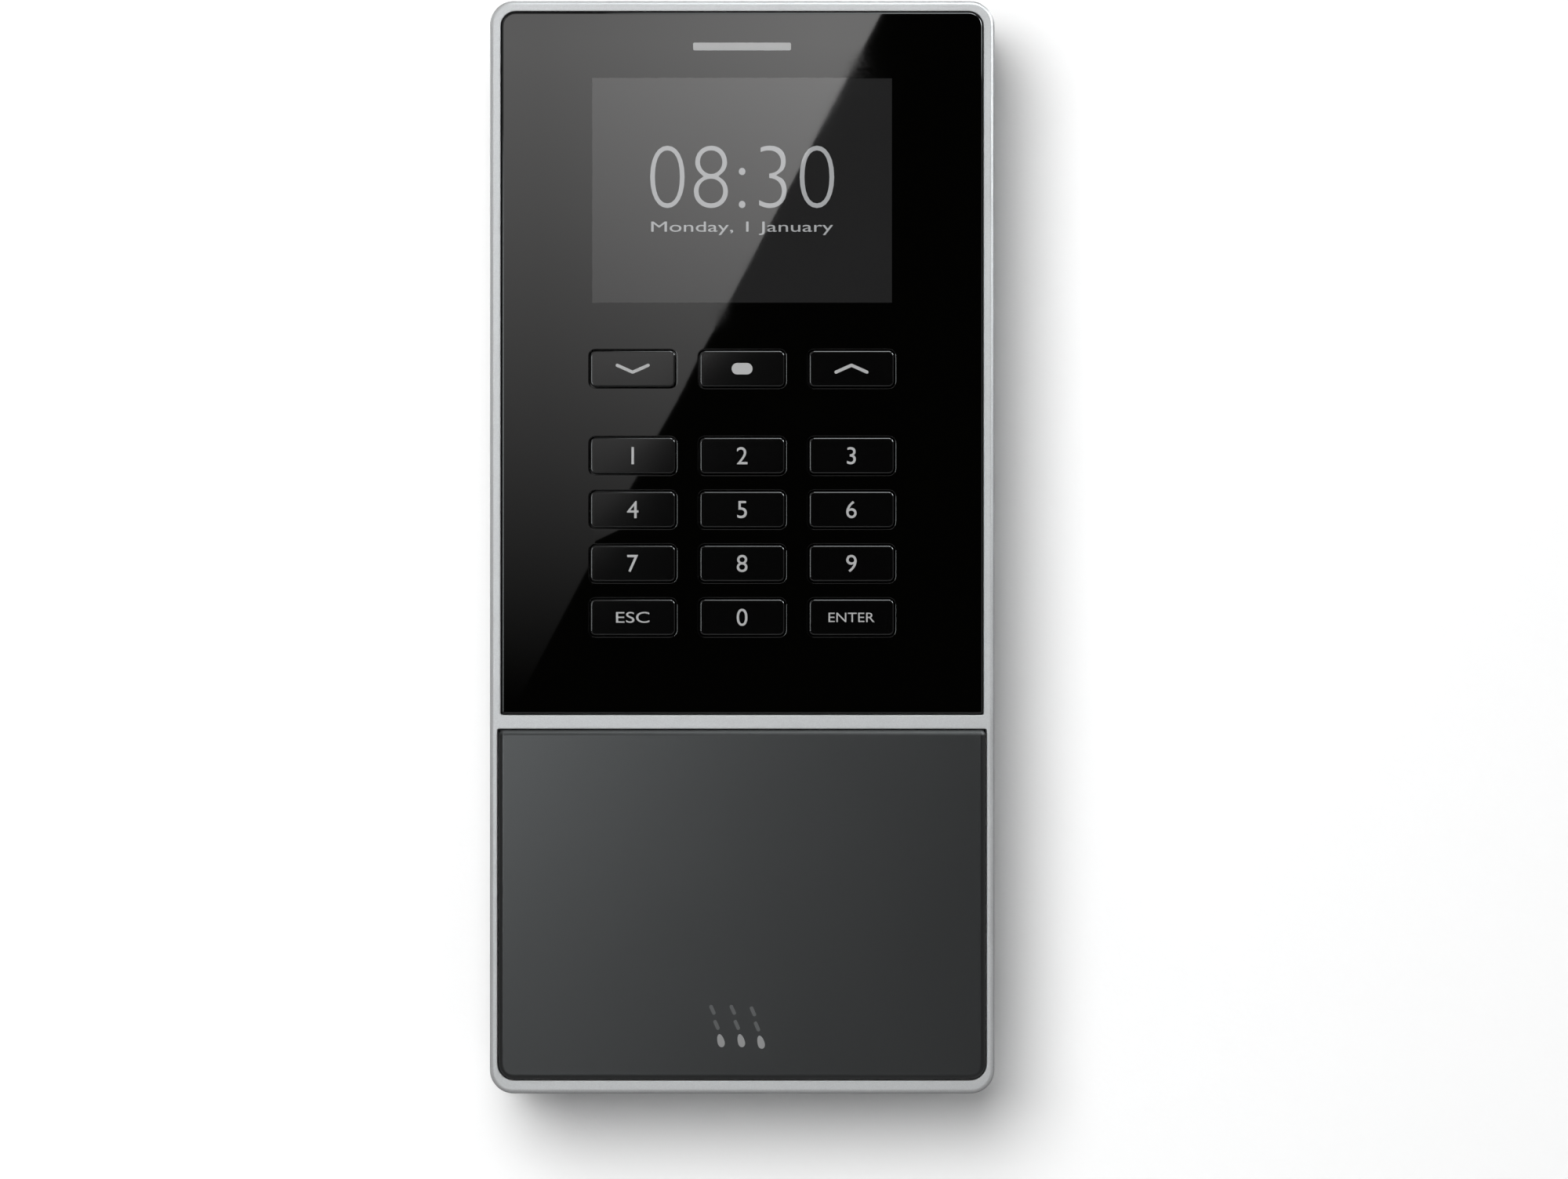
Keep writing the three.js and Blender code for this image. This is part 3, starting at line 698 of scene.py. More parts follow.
    def _brushed(self, name: str) -> bpy.types.NodeTree:
        """Fine drawn lines along Z, from 0 to 1.

        Args:
            name: The group's name.

        Returns:
            The group.
        """
        graph, source, out = self._new(name, {"Vector": ("Vector", None)}, ["Lines"])
        squeezed = graph.add("Mapping", {"Vector": source.outputs["Vector"], "Scale": (2200.0, 2200.0, 60.0)})
        graph.feed(out.inputs["Lines"], graph.noise(squeezed.outputs[0], 1.0, 3.0))
        return graph.tree


EFFECTS = EffectGroups()


@dataclass(frozen=True)
class Finish:
    """What every finish has: a name, a colour and a sheen."""

    name: str
    colour: Colour
    roughness: float

    def material(self) -> bpy.types.Material:
        """The finish as a material, made at its first use."""
        name = f"{self.name}_finish"
        found = bpy.data.materials.get(name)
        if found:
            return found
        material = bpy.data.materials.new(name)
        material.use_nodes = True
        material.diffuse_color = (*self.colour, 1.0)
        graph = Graph(material.node_tree)
        shader = material.node_tree.nodes["Principled BSDF"]
        shader.inputs["Base Color"].default_value = (*self.colour, 1.0)
        shader.inputs["Roughness"].default_value = self.roughness
        where = graph.add("TexCoord").outputs["Object"]
        self.dress(graph, shader, where)
        return material

    def dress(self, graph: Graph, shader: bpy.types.Node, where: bpy.types.NodeSocket) -> None:
        """Adds what sets this finish apart.

        Args:
            graph: The material's graph.
            shader: Its Principled BSDF.
            where: The piece's own coordinates.
        """

    def effect(self, graph: Graph, effect: Effect, where: bpy.types.NodeSocket, **values: float) -> bpy.types.Node:
        """Places a shared effect in the material.

        Args:
            graph: The material's graph.
            effect: The effect.
            where: The piece's own coordinates.
            values: The effect's other inputs.

        Returns:
            The group node.
        """
        node = graph.tree.nodes.new("ShaderNodeGroup")
        node.node_tree = EFFECTS.get(effect)
        graph.feed(node.inputs["Vector"], where)
        for label, value in values.items():
            node.inputs[label].default_value = value
        return node

    def bump(self, graph: Graph, shader: bpy.types.Node, height: bpy.types.NodeSocket, deep: float) -> None:
        """Raises the surface by a height, deep in millimetres."""
        node = graph.add("Bump", {"Height": height, "Strength": 1.0, "Distance": deep * MM})
        graph.feed(shader.inputs["Normal"], node.outputs[0])


@dataclass(frozen=True)
class MouldedPlastic(Finish):
    """Moulded plastic with a fine grain, a little dust and rubbed edges."""

    grain: float = 0.012  # depth in millimetres
    grain_scale: float = 2600.0
    mottle: float = 0.12
    dust: float = 0.05
    wear: float = 0.3
    worn_colour: Colour = (0.12, 0.12, 0.12)

    def dress(self, graph: Graph, shader: bpy.types.Node, where: bpy.types.NodeSocket) -> None:
        """Adds the grain, the mottle, the wear and the dust.

        Args:
            graph: The material's graph.
            shader: Its Principled BSDF.
            where: The piece's own coordinates.
        """
        grain = self.effect(graph, Effect.GRAIN, where, Scale=self.grain_scale)
        wear = self.effect(graph, Effect.WEAR, where, Amount=self.wear)
        dust = self.effect(graph, Effect.DUST, where, Amount=self.dust)
        lighter = tuple(c * (1 + self.mottle) for c in self.colour)
        darker = tuple(c * (1 - self.mottle) for c in self.colour)
        colour = graph.blend(grain.outputs["Mottle"], (*darker, 1), (*lighter, 1))
        colour = graph.blend(wear.outputs["Mask"], colour, (*self.worn_colour, 1))
        colour = graph.blend(dust.outputs["Mask"], colour, (0.42, 0.40, 0.37, 1))
        graph.feed(shader.inputs["Base Color"], colour)
        low, high = self.roughness * (1 - self.mottle / 2), self.roughness * (1 + self.mottle / 2)
        graph.feed(shader.inputs["Roughness"], graph.ramp(grain.outputs["Mottle"], 0.0, 1.0, low, high))
        self.bump(graph, shader, grain.outputs["Height"], self.grain)


@dataclass(frozen=True)
class Ink(MouldedPlastic):
    """Printed ink: flat, clean and unworn."""

    grain: float = 0.002
    mottle: float = 0.04
    dust: float = 0.0
    wear: float = 0.0


@dataclass(frozen=True)
class SilverPaint(Finish):
    """Satin silver lacquer: bright flake over a pale base."""

    flake: float = 0.55

    def dress(self, graph: Graph, shader: bpy.types.Node, where: bpy.types.NodeSocket) -> None:
        """Adds the flake, the rubbed edges and the dust.

        Args:
            graph: The material's graph.
            shader: Its Principled BSDF.
            where: The piece's own coordinates.
        """
        flakes = graph.add("TexVoronoi", {"Vector": where, "Scale": 9000.0}).outputs["Color"]
        sparkle = graph.ramp(graph.add("SeparateColor", {0: flakes}).outputs[0], 0.0, 1.0, 0.94, 1.06)
        grain = self.effect(graph, Effect.GRAIN, where, Scale=1800.0)
        wear = self.effect(graph, Effect.WEAR, where, Amount=0.35)
        dust = self.effect(graph, Effect.DUST, where, Amount=0.04)
        shade = graph.math("MULTIPLY", sparkle, graph.ramp(grain.outputs["Mottle"], 0.0, 1.0, 0.98, 1.02))
        base = graph.add("Mix", {0: 1.0, 6: (*self.colour, 1), 7: shade}, data_type="RGBA", blend_type="MULTIPLY")
        colour = graph.blend(wear.outputs["Mask"], base.outputs[2], (0.3, 0.3, 0.3, 1))
        graph.feed(shader.inputs["Base Color"], graph.blend(dust.outputs["Mask"], colour, (0.5, 0.48, 0.45, 1)))
        shader.inputs["Metallic"].default_value = self.flake
        low, high = self.roughness - 0.03, self.roughness + 0.03
        graph.feed(shader.inputs["Roughness"], graph.ramp(grain.outputs["Mottle"], 0.0, 1.0, low, high))
        self.bump(graph, shader, grain.outputs["Height"], 0.004)


@dataclass(frozen=True)
class Polished(Finish):
    """Polished black with faint finger marks."""

    marks: float = 0.05

    def dress(self, graph: Graph, shader: bpy.types.Node, where: bpy.types.NodeSocket) -> None:
        """Adds the finger marks and specks of dust.

        Args:
            graph: The material's graph.
            shader: Its Principled BSDF.
            where: The piece's own coordinates.
        """
        marks = self.effect(graph, Effect.SMUDGES, where, Amount=self.marks)
        graph.feed(shader.inputs["Roughness"], graph.math("ADD", marks.outputs["Roughness"], self.roughness))
        specks = graph.ramp(graph.noise(where, 2400.0, 2.0), 0.78, 0.86, 0.0, 0.05)
        graph.feed(shader.inputs["Base Color"], graph.blend(specks, (*self.colour, 1), (0.3, 0.29, 0.28, 1)))


@dataclass(frozen=True)
class ClearPane(Finish):
    """Clear or smoked acrylic, or with an index of 1 its back, where clear glue bonds it to the screen."""

    index: float = 1.49

    def dress(self, graph: Graph, shader: bpy.types.Node, where: bpy.types.NodeSocket) -> None:
        """Makes it clear, with faint finger marks.

        Args:
            graph: The material's graph.
            shader: Its Principled BSDF.
            where: The piece's own coordinates.
        """
        shader.inputs["Transmission Weight"].default_value = 1.0
        shader.inputs["IOR"].default_value = self.index
        marks = self.effect(graph, Effect.SMUDGES, where, Amount=0.02)
        graph.feed(shader.inputs["Roughness"], graph.math("ADD", marks.outputs["Roughness"], self.roughness))


@dataclass(frozen=True)
class Steel(Finish):
    """Plated or polished metal."""

    lines: float = 0.1  # how strongly the drawn lines show
    wear: float = 0.4

    def dress(self, graph: Graph, shader: bpy.types.Node, where: bpy.types.NodeSocket) -> None:
        """Adds the drawn lines, the mottle of the plating and the worn edges.

        Args:
            graph: The material's graph.
            shader: Its Principled BSDF.
            where: The piece's own coordinates.
        """
        lines = self.effect(graph, Effect.BRUSHED, where).outputs["Lines"]
        grain = self.effect(graph, Effect.GRAIN, where, Scale=1500.0)
        wear = self.effect(graph, Effect.WEAR, where, Amount=self.wear)
        brighter = tuple(min(1.0, c * 1.15) for c in self.colour)
        darker = tuple(c * 0.85 for c in self.colour)
        colour = graph.blend(grain.outputs["Mottle"], (*darker, 1), (*brighter, 1))
        colour = graph.blend(wear.outputs["Mask"], colour, (0.75, 0.74, 0.72, 1))
        graph.feed(shader.inputs["Base Color"], colour)
        shader.inputs["Metallic"].default_value = 1.0
        low, high = self.roughness - self.lines / 2, self.roughness + self.lines / 2
        graph.feed(shader.inputs["Roughness"], graph.ramp(lines, 0.2, 0.8, low, high))
        self.bump(graph, shader, lines, 0.004 * self.lines)


@dataclass(frozen=True)
class Glow(Finish):
    """A lit part of the display."""

    strength: float = 1.0

    def dress(self, graph: Graph, shader: bpy.types.Node, where: bpy.types.NodeSocket) -> None:
        """Lights it, through the display's fine grid of dots.

        Args:
            graph: The material's graph.
            shader: Its Principled BSDF.
            where: The piece's own coordinates.
        """
        dots = graph.add("TexVoronoi", {"Vector": where, "Scale": 5500.0, "Randomness": 0.0}).outputs["Distance"]
        shade = graph.ramp(dots, 0.2, 0.7, 1.0, 0.95)
        tint = graph.add("Mix", {0: 1.0, 6: (*self.colour, 1), 7: shade}, data_type="RGBA", blend_type="MULTIPLY")
        graph.feed(shader.inputs["Emission Color"], tint.outputs[2])
        shader.inputs["Emission Strength"].default_value = self.strength
        shader.inputs["Base Color"].default_value = (0.002, 0.002, 0.002, 1.0)
        shader.inputs["Specular IOR Level"].default_value = 0.0


@dataclass(frozen=True)
class CircuitBoard(Finish):
    """Green solder mask over copper tracks."""

    def dress(self, graph: Graph, shader: bpy.types.Node, where: bpy.types.NodeSocket) -> None:
        """Adds the tracks under the mask.

        Args:
            graph: The material's graph.
            shader: Its Principled BSDF.
            where: The piece's own coordinates.
        """
        inputs = {"Vector": where, "Scale": 420.0, "Randomness": 0.55}
        cells = graph.add("TexVoronoi", inputs, feature="DISTANCE_TO_EDGE", distance="EUCLIDEAN").outputs["Distance"]
        tracks = graph.ramp(cells, 0.04, 0.07, 1.0, 0.0)
        lighter = tuple(c * 1.7 for c in self.colour)
        graph.feed(shader.inputs["Base Color"], graph.blend(tracks, (*self.colour, 1), (*lighter, 1)))
        grain = self.effect(graph, Effect.GRAIN, where, Scale=2000.0)
        rougher = self.roughness + 0.12
        graph.feed(shader.inputs["Roughness"], graph.ramp(grain.outputs["Mottle"], 0.0, 1.0, self.roughness, rougher))
        self.bump(graph, shader, tracks, 0.03)


class Palette:
    """The finishes of the clock."""

    silver = SilverPaint("silver_lacquer", (0.345, 0.348, 0.352), 0.45, flake=0.35)
    black_glass = Polished("black_behind_glass", (0.0006, 0.0006, 0.0005), 0.012)
    pane = ClearPane("smoked_pane", (0.10, 0.10, 0.10), 0.012, index=1.58)
    bonded = ClearPane("bonded_pane", (1.0, 1.0, 1.0), 0.0, index=1.0)
    charcoal = MouldedPlastic(
        "charcoal_satin", (0.0042, 0.0044, 0.0046), 0.29, grain=0.003, mottle=0.02, dust=0.02, wear=0.15
    )
    charcoal_edge = MouldedPlastic(
        "charcoal_edge", (0.0042, 0.0044, 0.0046), 0.55, grain=0.003, mottle=0.02, dust=0.0, wear=0.1
    )
    shell = MouldedPlastic("shell_grey", (0.030, 0.031, 0.033), 0.55, grain=0.02, grain_scale=1700.0, dust=0.06)
    chassis = MouldedPlastic("chassis_black", (0.009, 0.009, 0.010), 0.6)
    key = MouldedPlastic(
        "key_black", (0.0012,) * 3, 0.06, grain=0.0005, mottle=0.05, dust=0.0, wear=0.3, worn_colour=(0.02,) * 3
    )
    socket = MouldedPlastic("socket_black", (0.008, 0.008, 0.009), 0.45)
    plunger = MouldedPlastic("plunger_white", (0.70, 0.69, 0.64), 0.45, mottle=0.03)
    silicone = MouldedPlastic("silicone_grey", (0.26, 0.28, 0.29), 0.7, grain=0.01)
    foam = MouldedPlastic("foam_tape", (0.04, 0.04, 0.04), 0.9, grain=0.05, grain_scale=1200.0)
    wire = MouldedPlastic("wire_black", (0.007, 0.007, 0.007), 0.5, grain=0.003)
    ribbon = MouldedPlastic("ribbon_amber", (0.42, 0.17, 0.03), 0.35, grain=0.002)
    zinc = Steel("zinc_plate", (0.46, 0.47, 0.48), 0.36, lines=0.16)
    nickel = Steel("nickel_plate", (0.56, 0.55, 0.51), 0.26, lines=0.06)
    gold = Steel("gold_contact", (0.83, 0.60, 0.24), 0.22, lines=0.03)
    board = CircuitBoard("solder_mask", (0.008, 0.075, 0.032), 0.35)
    ink = Ink("legend_ink", (0.27, 0.27, 0.27), 0.5)
    grey_ink = Ink("grey_ink", (0.17, 0.17, 0.17), 0.5)
    faint_ink = Ink("faint_ink", (0.045, 0.046, 0.047), 0.5)
    screen = Glow("screen_dark", (0.45, 0.45, 0.455), 0.25, strength=0.115)
    digits = Glow("screen_lit", (0.96, 0.98, 1.0), 0.25, strength=1.25)


# ------------------------------------------------------------------ front
@dataclass
class SilverFrame:
    """The band round the terminal, with a bar between its two openings."""

    corner: float = 4.6
    upper_corner: float = 2.9  # of the upper opening
    lower_corner: float = 3.2
    bar_corner: float = 0.4  # of both openings, at the bar
    edge: float = 0.9
    upper: tuple[float, float, float] = (46.4, -32.2, 103.0)  # half width, bottom and top of the opening
    lower: tuple[float, float, float] = (47.0, -102.4, -34.9)
    room: tuple[float, float, float] = (46.9, 103.2, 3.2)  # behind the lands: half width, half height and corner
    land: float = 1.8  # thickness of the lands
    chamfer: float = 0.22

    def build(self) -> None:
        """Makes the frame."""
        box = Span.of("bezel_frame")
        front, rear = box.low.y, box.high.y
        shape = Shape.slab(box.low, box.high, self.corner, segments=14)
        shape.bevel(rim_at(1, front), self.edge, 6)
        shape.bevel(rim_at(1, rear), self.edge * 0.7, 4)
        ends = (front - 2 * PAST, front + self.land + PAST)
        half, low, high = self.upper
        upper = Shape.slab((-half, ends[0], low), (half, ends[1], high), self.upper_corner, self.bar_corner)
        half, low, high = self.lower
        lower = Shape.slab((-half, ends[0], low), (half, ends[1], high), self.bar_corner, self.lower_corner)
        across, tall, corner = self.room
        room = Shape.slab((-across, front + self.land, -tall), (across, rear + 2 * PAST, tall), corner)
        shape.less(upper, lower, room)
        shape.bevel(rim_at(1, front), self.chamfer, 3)
        Piece("silver_frame", shape, "terminal", "silver_paint", [Palette.silver.material()], ["bezel_frame"]).place()


@dataclass
class FrontGlass:
    """One sheet of clear acrylic, black behind except at the display, with a hole for each key."""

    window: tuple[float, float] = (57.6, 43.2)
    corners: tuple[float, float] = (2.7, 0.5)  # upper and lower
    gap: float = 0.3
    key_radius: float = 1.3
    edge: float = 0.35
    hole_edge: float = 0.12
    keys_field: tuple[float, float, float] = (32.0, -20.0, 40.0)  # half width, bottom and top of the keys' area
    bar: tuple[float, float, float] = (18.8, 1.5, 96.2)  # width, height and place of the printed bar
    print_depth: float = 0.03

    def build(self, keys: Sequence[str]) -> None:
        """Makes the sheet and the printed bar.

        Args:
            keys: The names of the keys that show through it.
        """
        box = Span.of("front_glass")
        centre_z = Span.of("lcd_panel").centre.z
        half_w, half_h = self.window[0] / 2, self.window[1] / 2
        shape = Shape.slab(box.low, box.high, *self.corners)
        shape.bevel(rim_at(1, box.low.y), self.edge, 4)
        for axis, value in ((0, -half_w), (0, half_w), (2, centre_z - half_h), (2, centre_z + half_h)):
            shape.split_at(axis, value)

        def in_window(face: bmesh.types.BMFace) -> bool:
            """True for the faces in front of the display."""
            middle = face.calc_center_median()
            return abs(middle.x) < half_w and abs(middle.z - centre_z) < half_h and abs(face.normal.y) > 0.9

        shape.paint(in_window, 1)
        shape.paint(lambda face: in_window(face) and face.normal.y > 0, 2)
        shape.less(*[self._hole(name, box) for name in keys])
        shape.bevel(self._hole_rim(box.low.y), self.hole_edge, 2)
        materials = [finish.material() for finish in (Palette.black_glass, Palette.pane, Palette.bonded)]
        Piece("front_sheet", shape, "terminal", "gloss_black", materials, ["front_glass"]).place()
        half, tall, z = self.bar[0] / 2, self.bar[1] / 2, self.bar[2]
        front, back = box.low.y - self.print_depth, box.low.y + 0.02
        bar = Shape.slab((-half, front, z - tall), (half, back, z + tall), 0.3)
        Piece("printed_bar", bar, "terminal", "plunger_white", [Palette.ink.material()]).place()

    def _hole(self, name: str, box: Span) -> Shape:
        """The hole for one key.

        Args:
            name: The key's name.
            box: The glass's box.

        Returns:
            What to cut away.
        """
        cap = Span.of(f"key_{name}")
        half = Vector((Keypad.cap[0] / 2 + self.gap, 0, Keypad.cap[1] / 2 + self.gap))
        low = cap.centre - half
        high = cap.centre + half
        low.y, high.y = box.low.y - PAST, box.high.y + PAST
        return Shape.slab(low, high, self.key_radius, segments=5)

    def _hole_rim(self, front: float) -> EdgeTest:
        """A test for the front edges of the key holes.

        Args:
            front: Where the glass's front is on the Y axis.

        Returns:
            The test.
        """
        in_plane = rim_at(1, front)
        half, bottom, top = self.keys_field
        return lambda edge: in_plane(edge) and abs(edge.verts[0].co.x) < half and bottom < edge.verts[0].co.z < top


@dataclass
class BadgeCover:
    """The satin cover in front of the badge reader, with its printed marks."""

    edge: float = 1.1
    thickness: float = 2.6
    corners: tuple[float, float] = (1.0, 3.0)  # upper and lower
    wall: float = 2.0
    clip_z: tuple[float, float] = (-50.0, -86.0)
    pips: tuple[tuple[float, float], ...] = ((-4.0, -95.1), (-0.1, -95.1), (3.7, -95.4))
    pip: tuple[float, float] = (1.35, 2.6)  # width and height
    strokes: tuple[float, float] = (3.4, 6.3)  # how far the strokes stand above a drop
    tilt: float = math.radians(24)

    def build(self) -> None:
        """Makes the cover with its clips, and the marks."""
        box = Span.of("reader_cover")
        front, wall = box.low.y, self.wall
        low, high = box.low.copy(), box.high.copy()
        high.y = front + self.thickness
        shape = Shape.slab(low, high, *self.corners, 10)
        shape.bevel(rim_at(1, front), self.edge, 7)
        shape.paint(lambda face: face.normal.z > 0.1 and -0.995 < face.normal.y < -0.05, 1)
        inside = Vector((wall + 0.2, 0, wall))
        low, high = low + inside, high - inside
        low.y, high.y = front + wall, front + 2 * wall
        shape.less(Shape.slab(low, high, 0.6, 2.6))
        shape.plus(*[self._clip(side, z, front) for side in (-1, 1) for z in self.clip_z])
        charcoal = [Palette.charcoal.material(), Palette.charcoal_edge.material()]
        Piece("badge_cover", shape, "terminal", "charcoal", charcoal, ["reader_cover"]).place()
        ink, faint = Palette.grey_ink.material(), Palette.faint_ink.material()
        for i, (x, z) in enumerate(self.pips, 1):
            Piece(f"badge_pip_{i}", self._drop(x, z, front), "terminal", "plunger_white", [ink]).place()
            for j, up in enumerate(self.strokes, 1):
                stroke = self._stroke(x, z + up, front)
                Piece(f"badge_stroke_{i}{j}", stroke, "terminal", "plunger_white", [faint]).place()

    def _clip(self, side: int, z: float, front: float) -> Shape:
        """One snap clip: a leg with a barb at its end.

        Args:
            side: 1 for the right side and -1 for the left.
            z: The clip's height.
            front: Where the cover's front is on the Y axis.

        Returns:
            The clip.
        """

        def span(inner: float, outer: float, y0: float, y1: float) -> Shape:
            """A block on one side, between two distances from the middle."""
            a, b = sorted((side * inner, side * outer))
            return Shape.block((a, front + y0, z - 4), (b, front + y1, z + 4))

        return span(42.1, 43.4, 1.5, 6.3).plus(span(42.3, 44.2, 5.2, 6.3))

    def _drop(self, x: float, z: float, front: float) -> Shape:
        """One drop-shaped mark, wider at its foot.

        Args:
            x: Its place across the cover.
            z: Its height.
            front: Where the cover's front is on the Y axis.

        Returns:
            The mark.
        """
        width, height = self.pip
        drop = Shape.pin((0, -0.05, 0), 1, 0.1, width / 2, sides=24)
        for vert in drop.bm.verts:
            stretch = 1.15 if vert.co.z < 0 else 2.2  # short below its middle and long above
            vert.co.z *= stretch * height / (1.7 * width)
        return drop.turned_by(-self.tilt * 0.6, "Y").moved((x, front, z))

    def _stroke(self, x: float, z: float, front: float) -> Shape:
        """One faint slanted stroke above a drop.

        Args:
            x: The drop's place across the cover.
            z: The stroke's height.
            front: Where the cover's front is on the Y axis.

        Returns:
            The stroke.
        """
        stroke = Shape.slab((-0.35, -0.03, -1.0), (0.35, 0.03, 1.0), 0.3, segments=3)
        shift = (z - self.pips[0][1]) * math.tan(self.tilt) * 0.6
        return stroke.turned_by(-self.tilt, "Y").moved((x - shift, front, z))


# ------------------------------------------------------------------ keypad
class Legend(Enum):
    """What is printed on the keys that have no number."""

    DOWN = "down"
    MENU = "menu"
    UP = "up"
    CANCEL = "cancel"
    ENTER = "enter"


@dataclass
class Keypad:
    """The key caps that stand in the glass, each on its own body, and their legends."""

    cap: ClassVar[tuple[float, float]] = (16.3, 6.9)  # width and height
    cap_depth: float = 5.3
    radius: float = 1.0
    edge: float = 0.3
    flange: tuple[float, float] = (5.0, 5.9)  # from the key's front
    plunger: tuple[float, float, float, float] = (5.7, 1.2, 1.6, 1.4)  # start, length and both radii
    ink_depth: float = 0.05
    digit_height: float = 3.3
    words: dict[Legend, tuple[str, float, float]] = field(
        default_factory=lambda: {Legend.CANCEL: ("ESC", 2.1, 6.4), Legend.ENTER: ("ENTER", 1.8, 8.8)}
    )  # what it says, its height and its width
    names: tuple[str, ...] = (
        "down", "menu", "up", "1", "2", "3", "4", "5", "6", "7", "8", "9", "cancel", "0", "enter",
    )  # fmt: skip

    def build(self) -> None:
        """Makes every key and its legend."""
        key, ink = Palette.key.material(), Palette.ink.material()
        for name in self.names:
            body = f"key_{name}"
            cap = self._cap(body)
            Piece(f"cap_{name}", cap, body, "key_black", [key], [body]).place()
            Piece(f"legend_{name}", self._legend(name), body, "plunger_white", [ink]).place()

    def _cap(self, node: str) -> Shape:
        """One key: the cap, the flange that keeps it in and the plunger behind.

        Args:
            node: The CAD key it replaces.

        Returns:
            The key.
        """
        box = Span.of(node)
        x, z, front = box.centre.x, box.centre.z, box.low.y
        half_w, half_h = self.cap[0] / 2, self.cap[1] / 2
        low, high = (x - half_w, front, z - half_h), (x + half_w, front + self.cap_depth, z + half_h)
        cap = Shape.slab(low, high, self.radius, segments=6)
        cap.bevel(rim_at(1, front), self.edge, 4)
        near, far = (front + depth for depth in self.flange)
        flange = Shape.slab((box.low.x, near, box.low.z), (box.high.x, far, box.high.z), 0.6, segments=3)
        start, *sizes = self.plunger
        return cap.plus(flange, Shape.pin((x, front + start, z), 1, *sizes, sides=24))

    def _legend(self, name: str) -> Shape:
        """What is printed on one key.

        Args:
            name: The key's name.

        Returns:
            The legend.
        """
        box = Span.of(f"key_{name}")
        centre = Vector((box.centre.x, box.low.y, box.centre.z))
        if name.isdigit():
            return Shape.writing(name, centre, self.digit_height, self.ink_depth)
        legend = Legend(name)
        if legend in self.words:
            text, height, width = self.words[legend]
            return Shape.writing(text, centre, height, self.ink_depth, width=width)
        if legend is Legend.MENU:
            dot = Shape.slab((-2.0, -self.ink_depth, -1.1), (2.0, 0.02, 1.1), 1.08, segments=8)
            return dot.moved(centre)
        return self._chevron(1 if legend is Legend.UP else -1).moved(centre)

    def _chevron(self, way: int) -> Shape:
        """An arrow head.

        Args:
            way: 1 if it points up and -1 if it points down.

        Returns:
            The arrow head, about the origin.
        """
        arms = []
        for side in (-1, 1):
            arm = Shape.slab((-1.9, -self.ink_depth, -0.3), (1.9, 0.02, 0.3), 0.28, segments=4)
            arms.append(arm.turned_by(side * way * math.radians(24), "Y").moved((side * 1.5, 0, 0)))
        return arms[0].plus(arms[1])


@dataclass
class KeypadMat:
    """The silicone mat behind the keys: a sheet on the main board, and a dome under each key."""

    sheet: float = 0.8  # thickness
    corner: float = 2.0
    foot_radius: float = 3.0
    top_radius: float = 1.8
    edge: float = 0.2
    give: float = 0.56  # how far a pressed key pushes its dome in

    def build(self, names: Sequence[str]) -> None:
        """Makes the sheet and the domes.

        Args:
            names: The names of the keys.
        """
        box = Span.of("keypad_mat")
        front = box.high.y - self.sheet
        tall = front - box.low.y
        silicone = [Palette.silicone.material()]
        sheet = Shape.slab((box.low.x, front, box.low.z), box.high, self.corner)
        Piece("mat_sheet", sheet, "terminal", "silicone_grey", silicone, ["keypad_mat"]).place()
        for name in names:
            x, _, z = Span.of(f"key_{name}").centre
            dome = Shape.pin((x, box.low.y, z), 1, tall + 0.05, self.top_radius, self.foot_radius)
            dome.bevel(rim_at(1, box.low.y), self.edge, 3)
            piece = Piece(f"mat_dome_{name}", dome, "terminal", "silicone_grey", silicone).place()
            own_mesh(piece)


# ------------------------------------------------------------------ display
@dataclass
class Display:
    """The lit screen behind the glass: clock digits and a line of small writing."""

    active: tuple[float, float] = (57.6, 43.2)
    clock: tuple[float, float, float] = (35.4, 12.0, 71.3)  # width, height and place
    line: tuple[float, float, float] = (35.0, 2.6, 61.4)
    margin: float = 0.4  # of the screen, under the printed edge of the glass
    stand_off: float = 0.12  # the screen's face in front of its panel
    lit_depth: float = 0.02
    thin: float = 0.022  # how much thinner the clock's strokes are than the font's

    def build(self) -> None:
        """Makes the screen and what it shows."""
        panel = Span.of("lcd_panel")
        back, face = panel.low.y - 0.02, panel.low.y - self.stand_off
        half_w, half_h, z = self.active[0] / 2 + self.margin, self.active[1] / 2 + self.margin, panel.centre.z
        screen = Shape.slab((-half_w, face, z - half_h), (half_w, back, z + half_h), 0.2)
        Piece("screen", screen, "terminal", "display_glass", [Palette.screen.material()]).place()
        for name, text, (width, height, at), thin in (
            ("clock_digits", "08:30", self.clock, self.thin),
            ("date_line", "Monday, 1 January", self.line, 0.0),
        ):
            shape = Shape.writing(text, (0, face, at), height, self.lit_depth, width=width, thin=thin)
            Piece(name, shape, "terminal", "plunger_white", [Palette.digits.material()]).place()


